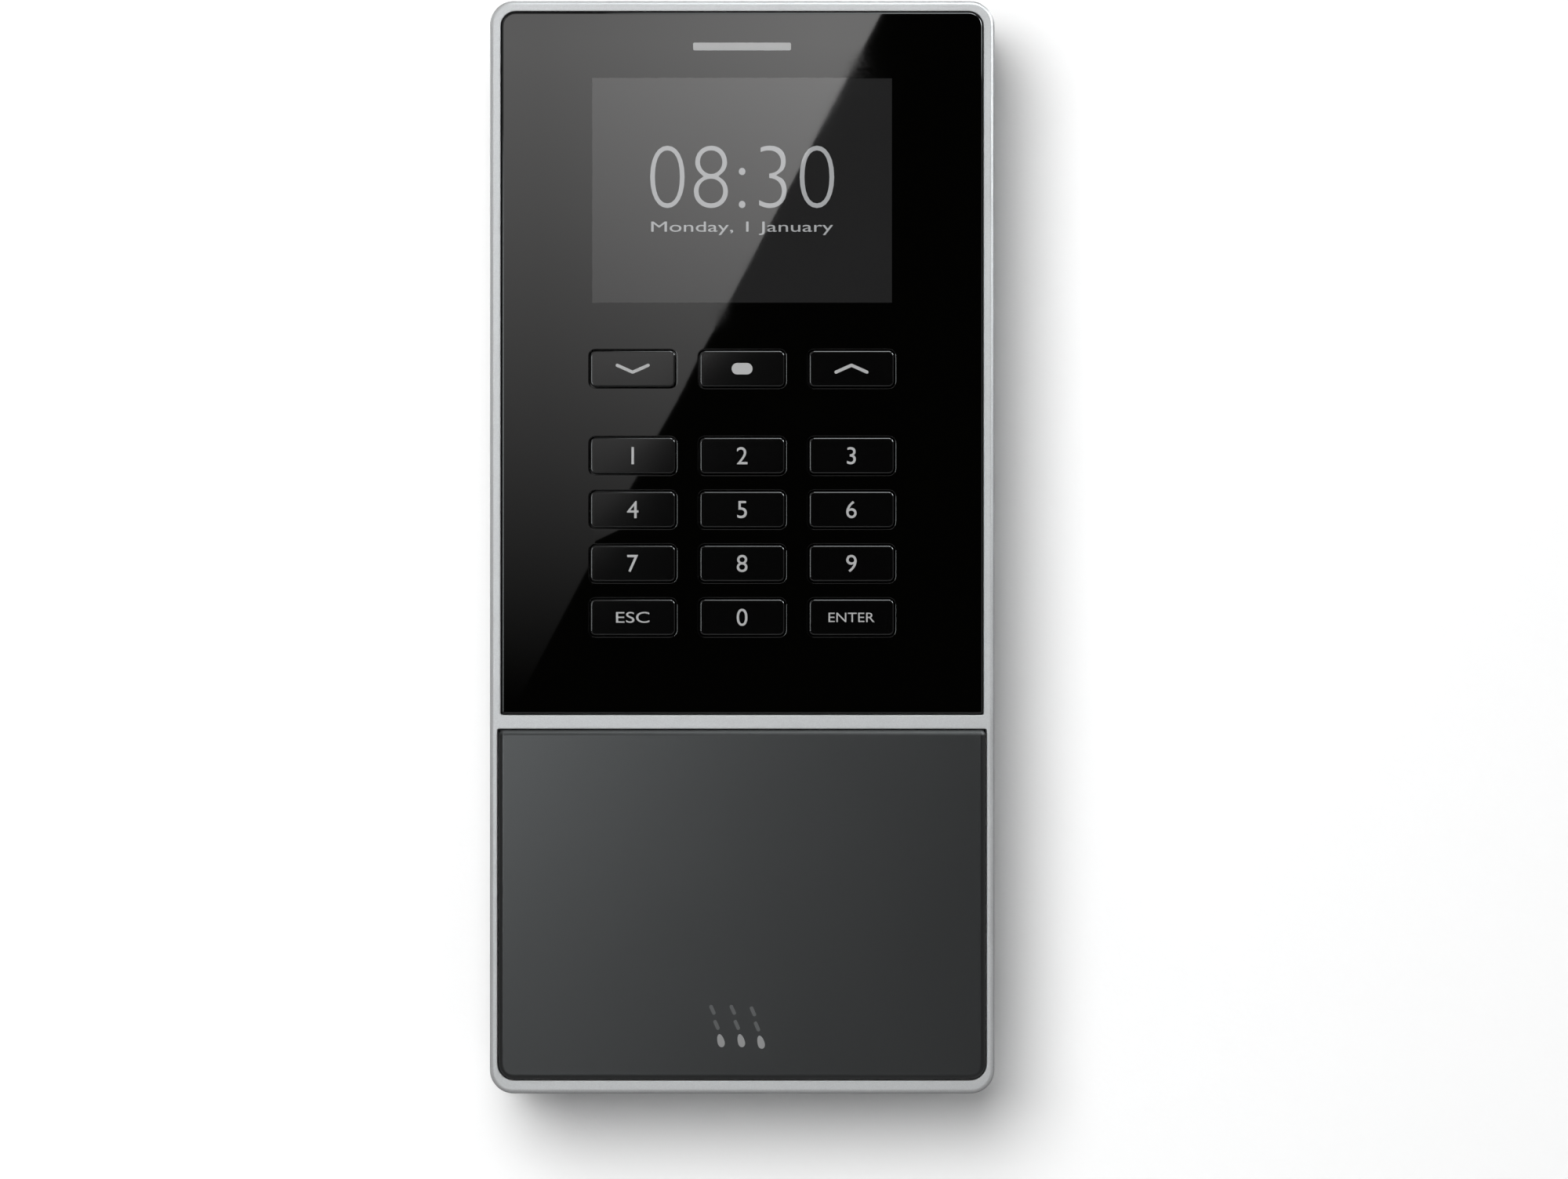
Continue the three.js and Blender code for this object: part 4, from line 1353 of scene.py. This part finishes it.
# ------------------------------------------------------------------ rear
@dataclass
class RearHousing:
    """The rear cover, with its hollow for the wall plate and its bay for the plugs."""

    corner: float = 4.4
    rear_round: float = 4.0
    rim: float = 0.3  # rounding of the hollows' edges
    wall: float = 2.6
    front: float = -18.7  # where the outside ends and the lip goes on into the frame
    lip: tuple[float, float, float] = (46.6, 102.9, 3.1)  # half width, half height and corner
    floor: float = -4.6  # the inside face of the rear wall
    recess: Box = ((-36.6, -2.2, -97.6), (36.6, 2.0, 74.6))  # for the wall plate
    recess_corner: float = 3.0
    bay: Box = ((-30.0, -16.2, -46.0), (30.0, 2.0, -4.0))  # for the plugs
    bay_walls: Box = ((-31.6, -17.8, -47.6), (31.6, -4.1, -2.4))
    pocket: Box = ((-10.5, -12.5, -98.0), (10.5, 2.0, -80.0))  # for the wall plate's tab
    pocket_walls: Box = ((-12.1, -14.1, -103.0), (12.1, -4.1, -78.4))
    sockets: tuple[tuple[float, float, float], ...] = ((-17, 16, 11.5), (3, 13.2, 5.8), (20, 9, 11))  # x, width, depth
    socket_gap: float = 0.3
    socket_y: tuple[float, float] = (-19.5, -17.6)  # front of the openings, and where the sockets' depth counts from
    socket_z: tuple[float, float] = (-5.4, -1.4)
    screws: tuple[float, float] = (40.0, 96.0)
    post: Bore = (-13.0, 9.0, 4.0)
    screw_bores: tuple[Bore, Bore] = ((-14.0, 16.0, 1.7), (-3.4, 6.0, 3.2))
    lock_y: float = -7.0
    lock_bores: tuple[Bore, Bore] = ((-110.0, 14.0, 1.8), (-110.0, 8.8, 3.2))
    hook_slot: tuple[float, float, float, float] = (22.0, 5.6, 43.6, 52.0)  # x, half width, bottom and top
    speaker_x: tuple[float, ...] = (-31.0, -27.0, -23.0, -19.0, -15.0)
    speaker_slot: Box = ((-0.8, -16.0, -110.0), (0.8, -8.0, -101.5))
    tamper: tuple[float, float, float] = (-30.0, 24.0, 1.9)  # x, z and radius
    rounded: tuple[float, float] = (40.0, 100.0)  # half width and half height within which the hollows' edges are round

    def build(self) -> None:
        """Makes the cover."""
        box = Span.of("rear_cover")
        rear = box.high.y
        low, high = Vector((box.low.x, self.front, box.low.z)), Vector((box.high.x, rear, box.high.z))
        shape = Shape.slab(low, high, self.corner, segments=12)
        shape.bevel(rim_at(1, rear), self.rear_round, 8)
        across, tall, corner = self.lip
        lip = Shape.slab((-across, box.low.y, -tall), (across, self.front + PAST, tall), corner)
        across, tall, corner = high.x - self.wall, high.z - self.wall, self.corner - self.wall
        cavity = Shape.slab((-across, box.low.y - 2 * PAST, -tall), (across, self.floor, tall), corner)
        shape.plus(lip).less(cavity)
        front, length, radius = self.post
        posts = [Shape.pin((x, front, z), 1, length, radius) for x, z in self._corners()]
        shape.plus(Shape.block(*self.bay_walls), Shape.block(*self.pocket_walls), *posts)
        shape.less(*self._hollows(), *self._holes())
        shape.bevel(self._hollow_rims(rear), self.rim, 2)
        Piece("rear_housing", shape, "terminal", "shell_grey", [Palette.shell.material()], ["rear_cover"]).place()

    def _corners(self) -> list[tuple[float, float]]:
        """The places of the four case screws."""
        x, z = self.screws
        return [(-x, z), (x, z), (-x, -z), (x, -z)]

    def _hollows(self) -> list[Shape]:
        """The hollow for the wall plate, the bay for the plugs, the pocket for the tab and the socket openings."""
        hollows = [Shape.slab(*self.recess, self.recess_corner), Shape.block(*self.bay), Shape.block(*self.pocket)]
        (front, foot), (bottom, top) = self.socket_y, self.socket_z
        for x, width, depth in self.sockets:
            half = width / 2 + self.socket_gap
            hollows.append(Shape.block((x - half, front, bottom), (x + half, foot + depth, top)))
        return hollows

    def _holes(self) -> list[Shape]:
        """The screw holes, the hook slots, the speaker's slots and the tamper hole."""
        holes = []
        for x, z in self._corners():
            holes += [Shape.pin((x, start, z), 1, length, radius) for start, length, radius in self.screw_bores]
        hook_x, half, bottom, top = self.hook_slot
        for x in (-hook_x, hook_x):
            holes.append(Shape.block((x - half, self.floor - PAST, bottom), (x + half, 0, top)))
        low, high = self.speaker_slot
        for x in self.speaker_x:
            holes.append(Shape.slab((x + low[0], *low[1:]), (x + high[0], *high[1:]), 0.3))
        for start, length, radius in self.lock_bores:
            holes.append(Shape.pin((0, self.lock_y, start), 2, length, radius))
        x, z, radius = self.tamper
        return holes + [Shape.pin((x, self.floor - PAST, z), 1, 4 * PAST, radius)]

    def _hollow_rims(self, rear: float) -> EdgeTest:
        """A test for the edges of the hollows in the rear face.

        Args:
            rear: Where the rear face is on the Y axis.

        Returns:
            The test.
        """
        in_plane = rim_at(1, rear)
        across, tall = self.rounded
        return lambda edge: in_plane(edge) and all(abs(v.co.x) < across and abs(v.co.z) < tall for v in edge.verts)


@dataclass
class WallPlate:
    """The steel plate on the wall, with its hooks, tab, slots and cable window."""

    width: float = 72.0
    thickness: float = 1.5
    corner: float = 3.0
    edge: float = 0.18
    bond: float = -0.7  # how deep the tab and the hooks reach into the plate
    window: tuple[float, ...] = (0.0, 27.0, -44.0, -8.0, 3.0)  # x, half width, bottom, top and corner
    upper_slot: tuple[float, ...] = (28.0, 4.5, 63.75, 68.25, 2.24)
    lower_slot: tuple[float, ...] = (28.0, 2.25, -76.5, -67.5, 2.24)
    hook_window: tuple[float, ...] = (22.0, 5.6, 52.2, 60.6, 0.8)
    hook: tuple[float, float, float, float] = (5.0, -6.6, 50.2, 56.7)  # half width, front, bottom and top
    tab_half: float = 8.0
    tab_hole: tuple[float, float] = (-7.0, 1.8)  # y and radius

    def build(self) -> None:
        """Makes the plate."""
        box = Span.of("wall_plate")
        half, front = self.width / 2, -self.thickness
        plate = Shape.slab((-half, front, box.low.z), (half, 0, box.high.z), self.corner, segments=8)
        openings = [
            Shape.slab((side * x - wide, front - PAST, bottom), (side * x + wide, PAST, top), corner)
            for x, wide, bottom, top, corner in (self.window, self.upper_slot, self.lower_slot, self.hook_window)
            for side in ((-1, 1) if x else (1,))
        ]
        plate.less(*openings)
        plate.bevel(rim_at(1, front), self.edge, 2)
        plate.bevel(rim_at(1, 0.0), self.edge, 2)
        foot = box.low.z
        tab = Shape.block((-self.tab_half, box.low.y, foot + 0.01), (self.tab_half, self.bond, foot + self.thickness))
        y, radius = self.tab_hole
        tab.less(Shape.pin((0, y, foot - PAST), 2, 4 * PAST, radius))
        hook_x = self.hook_window[0]
        plate.plus(tab, *[self._hook(x) for x in (-hook_x, hook_x)])
        Piece("hook_plate", plate, "wall_plate", "zinc_steel", [Palette.zinc.material()], ["wall_plate"]).place()

    def _hook(self, x: float) -> Shape:
        """One hook: a neck out of the plate, and a lip bent up from it.

        Args:
            x: Its place across the plate.

        Returns:
            The hook.
        """
        half, front, bottom, top = self.hook
        neck = Shape.block((x - half, front, bottom), (x + half, self.bond, bottom + self.thickness))
        lip = Shape.block((x - half, front, bottom), (x + half, front + self.thickness, top))
        hook = neck.plus(lip)
        along = column_edges(0)
        hook.bevel(lambda e: along(e) and e.verts[0].co.y < front + 0.5 and e.verts[0].co.z < bottom + 0.5, 1.2, 6)
        hook.bevel(lambda e: along(e) and e.verts[0].co.z > top - 0.5, 0.4, 3)
        return hook


# ------------------------------------------------------------------ fasteners
@dataclass
class Screw:
    """A cross-head screw with a domed head and a ridged shank, on the place of a CAD screw."""

    head_radius: float
    head_height: float
    shank_radius: float
    pitch: float = 0.7
    dome: tuple[tuple[float, float], ...] = ((0.0, 0.0), (0.72, 0.0), (0.93, 0.16), (1.0, 0.4), (1.0, 1.0))
    cross: tuple[float, float, float] = (0.6, 0.14, 0.55)  # length, width and depth as shares of the head
    root: float = 0.82  # the radius between the ridges, as a share of the shank's
    tip: float = 0.3

    def build(self, node: str, axis: int, way: int) -> None:
        """Makes one screw.

        Args:
            node: The CAD screw it replaces.
            axis: The axis it runs along, 0 to 2.
            way: 1 if its head is at the high end of that axis, and -1 at the low end.
        """
        box = Span.of(node)
        length = box.size[axis]
        shape = Shape.turned(self._profile(length), steps=28)
        arm, slot = self.head_radius * self.cross[0], self.head_radius * self.cross[1]
        deep = -self.head_height * self.cross[2]
        for a, b in ((arm, slot), (slot, arm)):
            shape.less(Shape.block((-a, -b, deep), (a, b, PAST)))
        if axis == 1:
            shape.turned_by(-way * math.pi / 2, "X")
        elif way < 0:
            shape.turned_by(math.pi, "X")
        place = box.centre.copy()
        place[axis] = box.high[axis] if way > 0 else box.low[axis]
        shape.moved(place)
        Piece(f"{node}_detailed", shape, "terminal", "nickel_steel", [Palette.nickel.material()], [node]).place()

    def _profile(self, length: float) -> list[tuple[float, float]]:
        """The outline of the screw.

        Args:
            length: The screw's whole length.

        Returns:
            (radius, height) points from the head's top, at 0, to the tip.
        """
        height, shank = self.head_height, self.shank_radius
        points = [(self.head_radius * across, -height * down) for across, down in self.dome]
        points.append((shank, -height))
        z = -height - 0.3
        while z - self.pitch > -length + 0.6:
            points += [(shank, z), (shank * self.root, z - self.pitch / 2)]
            z -= self.pitch
        return points + [(shank * self.root, -length + 0.5), (shank * self.tip, -length), (0.0, -length)]


# ------------------------------------------------------------------ inside
@dataclass
class Interior:
    """What the housing holds: CAD parts that keep their shape and get their finish."""

    finishes: dict[str, Finish] = field(
        default_factory=lambda: {
            "front_chassis": Palette.chassis,
            "glass_tape": Palette.foam,
            "lcd_frame": Palette.nickel,
            "lcd_panel": Palette.black_glass,
            "display_ribbon": Palette.ribbon,
            "reader_ribbon": Palette.ribbon,
            "main_board": Palette.board,
            "reader_board": Palette.board,
            "radio_antenna": Palette.board,
            "network_socket": Palette.nickel,
            "usb_socket": Palette.nickel,
            "power_socket": Palette.socket,
            "cell_holder": Palette.socket,
            "backup_cell": Palette.nickel,
            "tamper_switch": Palette.socket,
            "tamper_plunger": Palette.plunger,
            "speaker": Palette.chassis,
            "speaker_lead": Palette.wire,
            "antenna_lead": Palette.wire,
        }
    )

    def build(self, nodes: dict[str, bpy.types.Object]) -> None:
        """Gives every CAD part that still shows its finish.

        Args:
            nodes: The CAD parts by name.
        """
        for name, finish in self.finishes.items():
            part = nodes[name]
            part.data.materials.clear()
            part.data.materials.append(finish.material())
            log.info("%s: dressed in %s", name, finish.name)


@dataclass
class NetworkContacts:
    """The eight gold springs of the network socket, on the comb that holds them."""

    count: int = 8
    pitch: float = 1.27
    depth: float = 2.35  # of the springs, from the socket's front
    spring: Box = ((-0.2, -0.1, 3.0), (0.2, 0.35, 13.9))  # y from their depth, z from the socket's foot
    comb: Box = ((-5.2, -0.1, 6.0), (5.2, 0.5, 7.0))

    def build(self) -> None:
        """Makes the springs and the comb as one piece."""
        box = Span.of("network_socket")
        y, foot = box.low.y + self.depth, box.low.z

        def bar(x: float, corners: Box) -> Shape:
            """A bar about a place across the socket."""
            low, high = corners
            return Shape.block((x + low[0], y + low[1], foot + low[2]), (x + high[0], y + high[1], foot + high[2]))

        middle = (self.count - 1) / 2
        comb = bar(box.centre.x, self.comb)
        comb.plus(*[bar(box.centre.x + self.pitch * (i - middle), self.spring) for i in range(self.count)])
        Piece("network_contacts", comb, "terminal", "nickel_steel", [Palette.gold.material()]).place()


# ------------------------------------------------------------------ studio
@dataclass(frozen=True)
class Lamp:
    """A round light that points at the clock. Lengths are in metres."""

    name: str
    place: tuple[float, float, float]
    size: float
    power: float  # watts
    mirrored: bool = True  # whether glossy surfaces show it
    sheen_only: bool = False  # whether nothing but glossy surfaces shows it, a little cooler

    def build(self, aim: Vector) -> None:
        """Makes the light.

        Args:
            aim: What it points at.
        """
        data = bpy.data.lights.new(self.name, "AREA")
        data.shape, data.size, data.energy = "DISK", self.size, self.power
        light = bpy.data.objects.new(self.name, data)
        light.location = self.place
        light.rotation_euler = (aim - Vector(self.place)).to_track_quat("-Z", "Y").to_euler()
        bpy.context.scene.collection.objects.link(light)
        light.visible_glossy = self.mirrored
        if self.sheen_only:
            light.visible_diffuse = False
            data.color = (0.92, 0.98, 1.0)


@dataclass
class Studio:
    """A white wall, a pale floor, soft lights and the camera. Lengths here are in metres."""

    lens: float = 135.0  # this and the sensor are in millimetres
    sensor: float = 36.0
    view_width: float = 0.301  # what the camera sees at the clock's front
    view_centre: tuple[float, float] = (0.00805, -0.0081)
    wall: tuple[float, float, float] = (1.2, 1.4, 0.0004)  # half width, top and gap behind the clock
    floor: tuple[float, float] = (2.5, -0.25)  # half width and height
    floor_glow: float = 0.45  # its own light, which only the camera sees
    floor_bounce: float = 0.26  # how much light it sends back to the wall and the clock
    sky: float = 0.37  # light from all round
    seen_sky: float = 0.95  # what the camera sees of it
    dark_patch: tuple[float, float] = (0.80, 0.93)  # where the sky ahead of the clock fades to black
    card_distance: float = 1.5  # from the clock's front to the card that the glass mirrors
    card: tuple[tuple[float, float], ...] = ((-90.0, 150.0), (51.8, 150.0), (-90.0, -118.4))  # on the front, in mm
    card_rise: tuple[float, float, float] = (-31.0, 96.8, 1.4)  # from and to, in mm, and the power it grows by
    card_across: tuple[float, float, float] = (-38.6, 15.6, 0.69)  # from and to, in mm, and the share at the start
    card_light: float = 3.7
    aim: tuple[float, float, float] = (0.0, -0.015, 0.0)
    lamps: tuple[Lamp, ...] = (
        Lamp("key_light", (-0.26, -1.1, 0.34), 0.85, 15.0, mirrored=False),
        Lamp("back_light", (0.9, 1.3, 0.9), 0.9, 16.0),
        Lamp("back_fill", (-1.2, 1.0, 0.4), 0.9, 9.0),
        Lamp("satin_light", (-0.281, -1.35, 0.053), 0.26, 3.5, sheen_only=True),
        Lamp("top_edge_light", (0.15, -0.30, 0.60), 0.4, 5.0, sheen_only=True),
        Lamp("left_edge_light", (-0.55, -0.30, 0.42), 0.4, 0.4, sheen_only=True),
        Lamp("right_edge_light", (0.40, -0.22, 0.24), 0.25, 3.8, sheen_only=True),
    )

    def build(self) -> None:
        """Makes everything that isn't part of the clock."""
        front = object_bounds()[0][1]
        camera = self._camera(front)
        self._wall()
        self._floor()
        self._world()
        self._card(front, camera)
        for lamp in self.lamps:
            lamp.build(Vector(self.aim))
        bpy.context.scene.view_settings.view_transform = "Standard"

    def _camera(self, front: float) -> bpy.types.Object:
        """The camera, square to the clock's front.

        Args:
            front: Where the clock's front is on the Y axis.

        Returns:
            The camera.
        """
        data = bpy.data.cameras.new("camera")
        data.lens, data.sensor_width = self.lens, self.sensor
        data.clip_start = 0.01
        distance = self.view_width * self.lens / self.sensor
        camera = bpy.data.objects.new("camera", data)
        camera.location = (self.view_centre[0], front - distance, self.view_centre[1])
        camera.rotation_euler = (math.pi / 2, 0, 0)
        bpy.context.scene.collection.objects.link(camera)
        bpy.context.scene.camera = camera
        return camera

    @staticmethod
    def _sheet(
        name: str, corners: Sequence[Sequence[float]], material: bpy.types.Material, hidden_from: Sequence[str] = ()
    ) -> None:
        """A flat sheet, kept out of the object.

        Args:
            name: Its name.
            corners: Its corners in order.
            material: Its material.
            hidden_from: The kinds of ray that pass through it.
        """
        bm = bmesh.new()
        bm.faces.new([bm.verts.new(corner) for corner in corners])
        mesh = bpy.data.meshes.new(name)
        bm.to_mesh(mesh)
        bm.free()
        mesh.materials.append(material)
        sheet = bpy.data.objects.new(name, mesh)
        bpy.context.scene.collection.objects.link(sheet)
        sheet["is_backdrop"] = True
        for ray in hidden_from:
            setattr(sheet, f"visible_{ray}", False)

    @staticmethod
    def _one_sided(name: str) -> tuple[bpy.types.Material, Graph, Callable[[bpy.types.NodeSocket], None]]:
        """Starts a material that is clear from behind.

        Args:
            name: The material's name.

        Returns:
            The material, its graph, and a function that takes the shader of its front.
        """
        material = bpy.data.materials.new(name)
        material.use_nodes = True
        material.node_tree.nodes.clear()
        graph = Graph(material.node_tree)
        out = graph.add("OutputMaterial")

        def finish(front: bpy.types.NodeSocket) -> None:
            """Puts the shader on the front and leaves the back clear.

            Args:
                front: The shader's output.
            """
            clear = graph.add("BsdfTransparent").outputs[0]
            behind = graph.add("NewGeometry").outputs["Backfacing"]
            graph.feed(out.inputs["Surface"], graph.add("MixShader", {0: behind, 1: front, 2: clear}).outputs[0])

        return material, graph, finish

    def _wall(self) -> None:
        """A white wall that shows only from its front, and lets light through for the views from behind."""
        material, graph, finish = self._one_sided("wall_white")
        height = graph.noise(graph.add("TexCoord").outputs["Object"], 700.0, 3.0)
        bump = graph.add("Bump", {"Height": height, "Distance": 0.00004}).outputs[0]
        finish(graph.add("BsdfDiffuse", {"Color": (0.9, 0.9, 0.9, 1), "Normal": bump}).outputs[0])
        (side, top, y), foot = self.wall, self.floor[1]
        corners = [(-side, y, foot), (side, y, foot), (side, y, top), (-side, y, top)]
        self._sheet("wall", corners, material, ("diffuse", "glossy", "transmission", "shadow", "volume_scatter"))

    def _floor(self) -> None:
        """A plain pale floor, kept pale where the lights don't reach and clear from below."""
        material = MouldedPlastic("pale_floor", (0.78, 0.78, 0.77), 0.6, mottle=0.02, dust=0.0, wear=0.0).material()
        graph = Graph(material.node_tree)
        shader = material.node_tree.nodes["Principled BSDF"]
        seen = graph.add("LightPath").outputs["Is Camera Ray"]
        pale = shader.inputs["Base Color"].links[0].from_socket
        graph.feed(shader.inputs["Base Color"], graph.blend(seen, (*(self.floor_bounce,) * 3, 1), pale))
        shader.inputs["Emission Color"].default_value = (1, 1, 1, 1)
        graph.feed(shader.inputs["Emission Strength"], graph.math("MULTIPLY", seen, self.floor_glow))
        behind = graph.add("NewGeometry").outputs["Backfacing"]
        graph.feed(shader.inputs["Alpha"], graph.math("SUBTRACT", 1.0, behind))
        side, z = self.floor
        self._sheet("floor", [(-side, -side, z), (side, -side, z), (side, side, z), (-side, side, z)], material)

    def _world(self) -> None:
        """Pale light all round, except a dark patch in front that keeps the glass black."""
        world = bpy.data.worlds.new("studio")
        bpy.context.scene.world = world
        world.use_nodes = True
        graph = Graph(world.node_tree)
        background = world.node_tree.nodes["Background"]
        direction = graph.add("TexCoord").outputs["Generated"]
        ahead = graph.math("MULTIPLY", graph.add("SeparateXYZ", {0: direction}).outputs[1], -1.0)
        light = graph.ramp(graph.ramp(ahead, *self.dark_patch), 0.0, 1.0, self.sky, 0.0)
        camera_ray = graph.add("LightPath").outputs["Is Camera Ray"]
        strength = graph.add("Mix", {0: camera_ray, 2: light, 3: self.seen_sky}, data_type="FLOAT").outputs[0]
        graph.feed(background.inputs["Strength"], strength)
        background.inputs["Color"].default_value = (1, 1, 1, 1)

    def _card(self, front: float, camera: bpy.types.Object) -> None:
        """The bright card behind the camera, whose slanted edge the glass mirrors.

        Args:
            front: Where the clock's front is on the Y axis.
            camera: The camera that sees the card in the glass.
        """
        material, graph, finish = self._one_sided("card_light")
        reach = 1 + self.card_distance / (front - camera.location.y)

        def on_card(axis: int, value: float) -> float:
            """The card's place on an axis that the glass shows at a place, in millimetres, on the clock's front."""
            at = camera.location[axis]
            return at + (value * MM - at) * reach

        where = graph.add("SeparateXYZ", {0: graph.add("TexCoord").outputs["Object"]}).outputs
        low, high, power = self.card_rise
        up = graph.add("MapRange", {0: where[2], 1: on_card(2, low), 2: on_card(2, high)}).outputs[0]
        left, right, share = self.card_across
        ends = {1: on_card(0, left), 2: on_card(0, right), 3: share, 4: 1.0}
        across = graph.add("MapRange", {0: where[0], **ends}).outputs[0]
        fall = graph.math("MULTIPLY", graph.math("POWER", up, power), across)
        strength = graph.math("MULTIPLY", fall, self.card_light)
        finish(graph.add("Emission", {"Color": (1, 0.99, 0.985, 1), "Strength": strength}).outputs[0])
        y = front - self.card_distance
        corners = [(on_card(0, x), y, on_card(2, z)) for x, z in self.card]
        self._sheet("bright_card", corners, material, ("camera", "diffuse", "transmission", "shadow", "volume_scatter"))


def main() -> None:
    """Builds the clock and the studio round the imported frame."""
    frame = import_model()
    Studio().build()
    SilverFrame().build()
    keypad = Keypad()
    FrontGlass().build(keypad.names)
    keypad.build()
    KeypadMat().build(keypad.names)
    BadgeCover().build()
    Display().build()
    RearHousing().build()
    WallPlate().build()
    case_screw = Screw(2.8, 2.0, 1.4)
    small_screw = Screw(2.2, 1.4, 1.0, 0.5)
    for i in range(1, 5):
        case_screw.build(f"case_screw_{i}", axis=1, way=1)
        small_screw.build(f"board_screw_{i}", axis=1, way=1)
    for i in (1, 2):
        small_screw.build(f"reader_screw_{i}", axis=1, way=1)
    case_screw.build("locking_screw", axis=2, way=-1)
    Interior().build(frame["nodes"])
    NetworkContacts().build()


if __name__ == "__main__":
    main()
